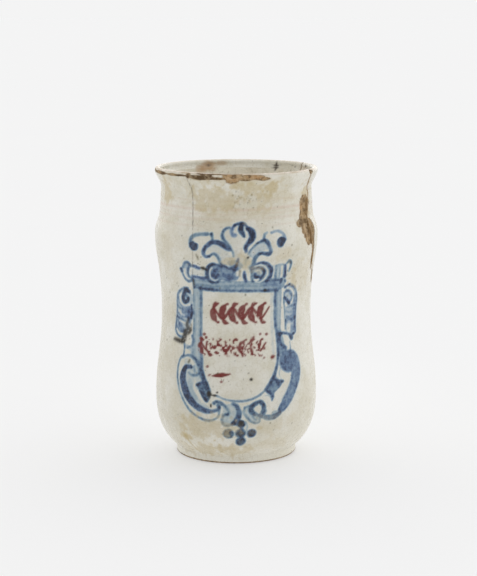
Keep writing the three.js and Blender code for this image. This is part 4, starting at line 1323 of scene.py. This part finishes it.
# %% Specks: round pits or grains, only in some of the cells
specks, given, result = new_group("specks", {"Spacing": 6.0, "Size": 0.12, "Share": 0.5}, "Mask")
cells = add(specks, "ShaderNodeTexVoronoi",
            {"Vector": in_mm(specks, given.outputs["Spacing"]), "Scale": 1.0})
chosen = maths(specks, "LESS_THAN",
               add(specks, "ShaderNodeSeparateColor", {0: cells.outputs["Color"]}).outputs[0],
               given.outputs["Share"])
round_spot = remap(specks, cells.outputs["Distance"], given.outputs["Size"], 0.0)
specks.links.new(maths(specks, "MULTIPLY", chosen, round_spot), result.inputs["Mask"])

# %% Crackle: a net of very fine cracks
crackle, given, result = new_group("crackle", {"Spacing": 4.0, "Width": 0.03}, "Mask")
bent = add(crackle, "ShaderNodeTexNoise",
           {"Vector": in_mm(crackle, given.outputs["Spacing"]), "Scale": 1.3})
moved = add(crackle, "ShaderNodeVectorMath",
            {0: in_mm(crackle, given.outputs["Spacing"]), 1: bent.outputs["Color"]}, operation="ADD")
net = add(crackle, "ShaderNodeTexVoronoi", {"Vector": moved.outputs[0], "Scale": 1.0},
          feature="DISTANCE_TO_EDGE")
crackle.links.new(remap(crackle, net.outputs["Distance"], given.outputs["Width"], 0.0),
                  result.inputs["Mask"])

# %% Grain: a height for small bumps
grain, given, result = new_group("grain", {"Size": 1.0, "Coarse": 0.5}, "Height")
small = add(grain, "ShaderNodeTexNoise",
            {"Vector": in_mm(grain, given.outputs["Size"]), "Scale": 1.0, "Detail": 6.0, "Roughness": 0.6})
large = add(grain, "ShaderNodeTexNoise",
            {"Vector": in_mm(grain, maths(grain, "MULTIPLY", given.outputs["Size"], 7.0)), "Scale": 1.0,
             "Detail": 3.0})
part = maths(grain, "MULTIPLY", large.outputs["Fac"], given.outputs["Coarse"])
grain.links.new(maths(grain, "ADD", small.outputs["Fac"], part), result.inputs["Height"])


# %% [markdown]
# ## Building a finish
# A finish is a stack of layers over a first colour. A small helper keeps the colour that has
# been reached and lays the next one over it through a mask, as a painter would.

# %% A finish as a stack of colours
class Finish:
    """A material whose colour is built up layer by layer."""

    def __init__(self, name, colour):
        self.material = bpy.data.materials.new(name)
        self.material.use_nodes = True
        self.tree = self.material.node_tree
        self.shader = self.tree.nodes["Principled BSDF"]
        start = add(self.tree, "ShaderNodeRGB")
        start.outputs[0].default_value = colour
        self.colour = start.outputs[0]

    def value(self, name):
        """A number kept on the mesh."""
        return add(self.tree, "ShaderNodeAttribute", attribute_name=name).outputs["Fac"]

    def effect(self, group, output, **inputs):
        """An output of one of the shared groups."""
        node = add(self.tree, "ShaderNodeGroup", node_tree=group)
        for key, value in inputs.items():
            node.inputs[key].default_value = value
        return node.outputs[output]

    def times(self, a, b):
        """One mask or share times another."""
        return maths(self.tree, "MULTIPLY", a, b, clamp=True)

    def over(self, mask, colour, blend="MIX"):
        """Lays a colour over what is there."""
        mixed = add(self.tree, "ShaderNodeMix", {0: mask, 6: self.colour, 7: colour},
                    data_type="RGBA", blend_type=blend)      # 6 and 7 take colours
        self.colour = mixed.outputs[2]

    def clouds(self, *coats):
        """Lays colours over in clouds, each given by size, low, high, share and shade."""
        for size, low, high, share, colour in coats:
            mask = self.effect(mottle, "Mask", Size=size, Low=low, High=high)
            self.over(self.times(mask, share), shade(*colour))

    def marks(self, *coats):
        """Lays colours over where the mesh says, each given by name, share and shade."""
        for name, share, colour in coats:
            self.over(self.times(self.value(name), share), shade(*colour))

    def grains(self, spacing, size, count, share, colour, blend="MIX"):
        """Lays specks of a colour over, and gives their mask."""
        mask = self.effect(specks, "Mask", Spacing=spacing, Size=size, Share=count)
        self.over(self.times(mask, share), shade(*colour), blend)
        return mask

    def join(self, output, socket):
        """Leads an output into a socket of the shader."""
        self.tree.links.new(output, self.shader.inputs[socket])

    def wander(self, size, low, high, least, most):
        """A value that wanders in clouds between two others."""
        mask = self.effect(mottle, "Mask", Size=size, Low=low, High=high)
        return remap(self.tree, mask, 0.0, 1.0, least, most)

    def bump(self, height, distance, below=None):
        """A bump from a height in the range 0 to 1, with its depth in metres."""
        inputs = {"Height": height, "Distance": distance}
        if below is not None:
            inputs["Normal"] = below
        return add(self.tree, "ShaderNodeBump", inputs).outputs[0]

    def wear(self, *things):
        """Connects the colour and gives the finish to the pieces."""
        self.join(self.colour, "Base Color")
        for thing in things:
            thing.data.materials.append(self.material)
        print(f"{self.material.name}: {len(self.tree.nodes)} nodes, on", [thing.name for thing in things])


def colour_scale(tree, value, stops):
    """Turns a number into a colour through stops, each a place and a shade."""
    node = add(tree, "ShaderNodeValToRGB", {0: value})
    band = node.color_ramp.elements
    while len(band) < len(stops):
        band.new(1.0)
    for element, (place, colour) in zip(band, stops):
        element.position, element.color = place, shade(*colour)
    return node.outputs[0]


# %% [markdown]
# ## Painted tin glaze
# Tin glaze is an opaque, slightly uneven white. It is warm where it is thick, pinkish where
# it is thin over the clay, cooler round the cobalt, and full of pits and tiny specks. The
# painting is laid over it, then the ageing: ochre stains, soot, dirt in the cracks.

# %% The outside finish
paint = Finish("painted_tin_glaze", shade(229, 226, 214))
paint.clouds((26.0, 0.42, 0.62, 1.0, (219, 214, 197)), (9.0, 0.45, 0.7, 0.45, (206, 200, 176)),
             (3.0, 0.5, 0.75, 0.35, (230, 228, 221)))
# low: painted light near the foot, a paler glaze standing in for light from the floor
paint.marks(("halo", 0.7, (200, 207, 206)), ("low", 0.5, (240, 236, 222)),
            ("thin", 0.85, (208, 180, 162)), ("lip", 1.0, (186, 168, 136)))

# %% Cobalt over it, from a pale wash to nearly black
slate = [(0.0, (200, 208, 205)), (0.20, (178, 192, 195)), (0.35, (154, 174, 183)), (0.50, (124, 149, 165)),
         (0.65, (92, 119, 144)), (0.80, (66, 88, 115)), (0.92, (52, 66, 90)), (1.0, (40, 49, 68))]
violet = [(0.0, (202, 206, 208)), (0.20, (178, 188, 202)), (0.35, (152, 168, 192)), (0.50, (122, 142, 178)),
          (0.65, (90, 112, 158)), (0.80, (66, 82, 128)), (0.92, (50, 60, 98)), (1.0, (38, 44, 74))]
strength = paint.times(paint.value("blue"), paint.wander(2.4, 0.3, 0.7, 0.84, 1.14))
blues = add(paint.tree, "ShaderNodeMix",
            {0: paint.times(paint.value("violet"), 0.6), 6: colour_scale(paint.tree, strength, slate),
             7: colour_scale(paint.tree, strength, violet)}, data_type="RGBA")
paint.over(remap(paint.tree, strength, 0.02, 0.24), blues.outputs[2])

# %% Iron red, stains, cracks and pits
paint.marks(("blush", 0.4, (206, 168, 152)), ("red", 1.0, (116, 33, 28)),
            ("olive", 0.85, (86, 82, 46)), ("ochre", 0.9, (194, 175, 126)))
fine_cracks = paint.effect(crackle, "Mask", Spacing=3.2, Width=0.03)
paint.over(paint.times(fine_cracks, 0.5), shade(214, 204, 184), "MULTIPLY")
pits = paint.grains(5.0, 0.10, 0.3, 0.85, (140, 122, 94), "MULTIPLY")
paint.grains(1.6, 0.20, 0.3, 0.35, (190, 178, 156), "MULTIPLY")
paint.marks(("dirt", 0.5, (160, 134, 98)), ("stained", 0.85, (170, 132, 86)), ("marks", 1.0, (70, 56, 42)),
            ("soot", 1.0, (48, 42, 34)), ("hair", 1.0, (84, 70, 48)))

# %% Shine and relief of the outside
sooty = paint.times(paint.value("soot"), 0.4)
paint.join(maths(paint.tree, "ADD", paint.wander(6.0, 0.35, 0.7, 0.24, 0.42), sooty), "Roughness")
relief = paint.bump(paint.effect(grain, "Height", Size=2.2, Coarse=1.2), 0.00025)
for sunk in (pits, paint.value("hair")):
    relief = paint.bump(maths(paint.tree, "MULTIPLY", sunk, -1.0), 0.0003, below=relief)
paint.join(relief, "Normal")
paint.shader.inputs["Specular IOR Level"].default_value = 0.45
paint.wear(*outside_coats)

# %% [markdown]
# ## The inside coat
# The inside was glazed by swilling, so it is greyer and more stained than the outside. The
# first stretch below the lip belongs to the outside coat, so both coats carry the brown
# stains and the star-shaped crack in the mouth.

# %% The inside finish
lining = Finish("swilled_inner_glaze", shade(218, 212, 194))
lining.clouds((22.0, 0.4, 0.65, 1.0, (206, 198, 178)), (7.0, 0.5, 0.72, 0.5, (192, 178, 150)))
fine_cracks = lining.effect(crackle, "Mask", Spacing=6.0, Width=0.02)
lining.over(lining.times(fine_cracks, 0.6), shade(170, 156, 130), "MULTIPLY")
lining.grains(7.0, 0.12, 0.3, 0.7, (120, 106, 82), "MULTIPLY")
lining.marks(("thin", 0.5, (206, 188, 168)), ("dirt", 0.5, (150, 126, 92)),
             ("stained", 0.85, (170, 132, 86)), ("marks", 1.0, (70, 56, 42)))
lining.join(lining.wander(5.0, 0.3, 0.7, 0.3, 0.5), "Roughness")
lining.join(lining.bump(lining.effect(grain, "Height", Size=2.6, Coarse=1.5), 0.0003), "Normal")
lining.wear(*inside_coats)

# %% [markdown]
# ## Broken clay and glue
# Fired buff clay is matt and sandy, with paler and darker grains. Old dirt has turned the
# breaks brown and some of the clay rust orange. The glue is a dull brown resin.

# %% The clay finish
earth = Finish("buff_broken_clay", shade(190, 162, 124))
earth.clouds((6.0, 0.4, 0.65, 1.0, (168, 140, 100)))
# this mark also makes the bottom edge of the foot darker
earth.marks(("rusty", 0.7, (188, 142, 94)), ("burnt_and_dark_foot", 0.9, (92, 70, 48)))
earth.clouds((2.0, 0.45, 0.65, 0.6, (204, 182, 148)), (3.4, 0.50, 0.62, 0.75, (106, 84, 54)))
earth.grains(1.2, 0.3, 0.3, 0.7, (66, 48, 34))
earth.grains(1.7, 0.3, 0.25, 0.5, (214, 196, 168))
earth.shader.inputs["Roughness"].default_value = 0.9
earth.join(earth.bump(earth.effect(grain, "Height", Size=0.8, Coarse=1.0), 0.0005), "Normal")
earth.wear(jar_clay, sherd_clay)

# %% The glue finish
resin = Finish("old_brown_glue", shade(176, 150, 112))
resin.clouds((4.0, 0.4, 0.65, 1.0, (150, 120, 82)))
resin.grains(1.5, 0.3, 0.3, 0.5, (92, 72, 50))
resin.join(resin.wander(2.0, 0.3, 0.7, 0.35, 0.6), "Roughness")
resin.join(resin.bump(resin.effect(grain, "Height", Size=0.9, Coarse=1.0), 0.0004), "Normal")
resin.wear(joint_glue)

# %% [markdown]
# ## The studio
# The jar stands on a wide pale floor. The light is a tent all round it: bright behind and at
# the sides, dimmer where the viewer stands, and a little stronger from the right, so that the
# front is shaded softly and a faint shadow lies on the left. The camera itself sees the tent
# in the floor's own tone, which hides the horizon. A small lamp looks into the mouth.

# %% Floor
STUDIO_HALF, STUDIO_DROP = 60.0, 0.0001     # metres
STUDIO_GLOW = 0.45      # light that the floor gives back by itself, so it stays as pale as the tent
corners = [(x * STUDIO_HALF, y * STUDIO_HALF, -STUDIO_DROP)
           for x, y in ((-1, -1), (1, -1), (1, 1), (-1, 1))]
floor_mesh = bpy.data.meshes.new("pale_floor")
floor_mesh.from_pydata(corners, [], [(0, 1, 2, 3)])
pale_floor = bpy.data.objects.new("pale_floor", floor_mesh)
bpy.context.scene.collection.objects.link(pale_floor)
pale = Finish("pale_paper", shade(180, 180, 180))
pale.clouds((300.0, 0.4, 0.6, 0.3, (179, 179, 180)))
for socket, value in (("Roughness", 0.9), ("Specular IOR Level", 0.0),
                      ("Emission Color", (1, 1, 1, 1)), ("Emission Strength", STUDIO_GLOW)):
    pale.shader.inputs[socket].default_value = value
pale.wear(pale_floor)

# %% The tent of light
BRIGHTER_BEHIND, BRIGHTER_RIGHT, SEEN_BRIGHTNESS = 0.60, 0.16, 0.905
tent = bpy.data.worlds.new("tent")
tent.use_nodes = True
tree = tent.node_tree
towards = add(tree, "ShaderNodeSeparateXYZ", {0: add(tree, "ShaderNodeTexCoord").outputs["Generated"]})
from_behind = maths(tree, "MULTIPLY", towards.outputs["Y"], BRIGHTER_BEHIND)
from_right = maths(tree, "MULTIPLY", towards.outputs["X"], BRIGHTER_RIGHT)
glow = maths(tree, "ADD", maths(tree, "ADD", from_behind, from_right), 1.0)
seen_directly = add(tree, "ShaderNodeLightPath").outputs["Is Camera Ray"]
seen = add(tree, "ShaderNodeMix", {0: seen_directly, 2: glow, 3: SEEN_BRIGHTNESS})
tree.links.new(seen.outputs[0], tree.nodes["Background"].inputs["Strength"])
tree.nodes["Background"].inputs["Color"].default_value = (1, 1, 1, 1)
bpy.context.scene.world = tent
bpy.context.scene.view_settings.view_transform = "Standard"

# %% A lamp into the mouth
LAMP_PLACE, LAMP_TARGET = Vector((-0.05, -0.55, 0.85)), Vector((0, 0.045, 0.187))
mouth_light = bpy.data.lights.new("mouth_lamp", "SPOT")
mouth_light.energy, mouth_light.shadow_soft_size = 8.0, 0.08
mouth_light.spot_size, mouth_light.spot_blend = math.radians(9), 0.8
mouth_lamp = bpy.data.objects.new("mouth_lamp", mouth_light)
mouth_lamp.location = LAMP_PLACE
mouth_lamp.rotation_euler = (LAMP_TARGET - LAMP_PLACE).to_track_quat("-Z", "Y").to_euler()
bpy.context.scene.collection.objects.link(mouth_lamp)

# %% [markdown]
# ## The camera
# It stands a good metre in front, a little above the lip, and looks gently down, so that the
# mouth shows as a flat oval.

# %% Camera
CAMERA_DISTANCE, CAMERA_HEIGHT, LOOK_DOWN = 1.0763, 0.293, math.radians(9.63)
view = bpy.data.cameras.new("camera")
view.lens, view.sensor_width = 102.1, 36.0
view.shift_x, view.clip_end = 0.004, 400.0
camera = bpy.data.objects.new("camera", view)
camera.location = (0.0, -CAMERA_DISTANCE, CAMERA_HEIGHT)
camera.rotation_euler = (math.pi / 2 - LOOK_DOWN, 0, 0)
bpy.context.scene.collection.objects.link(camera)
bpy.context.scene.camera = camera
print("camera", round(CAMERA_HEIGHT - JAR_HEIGHT * MM, 3), "m above the lip")

# %% Update the scene, and the end
bpy.context.view_layer.update()
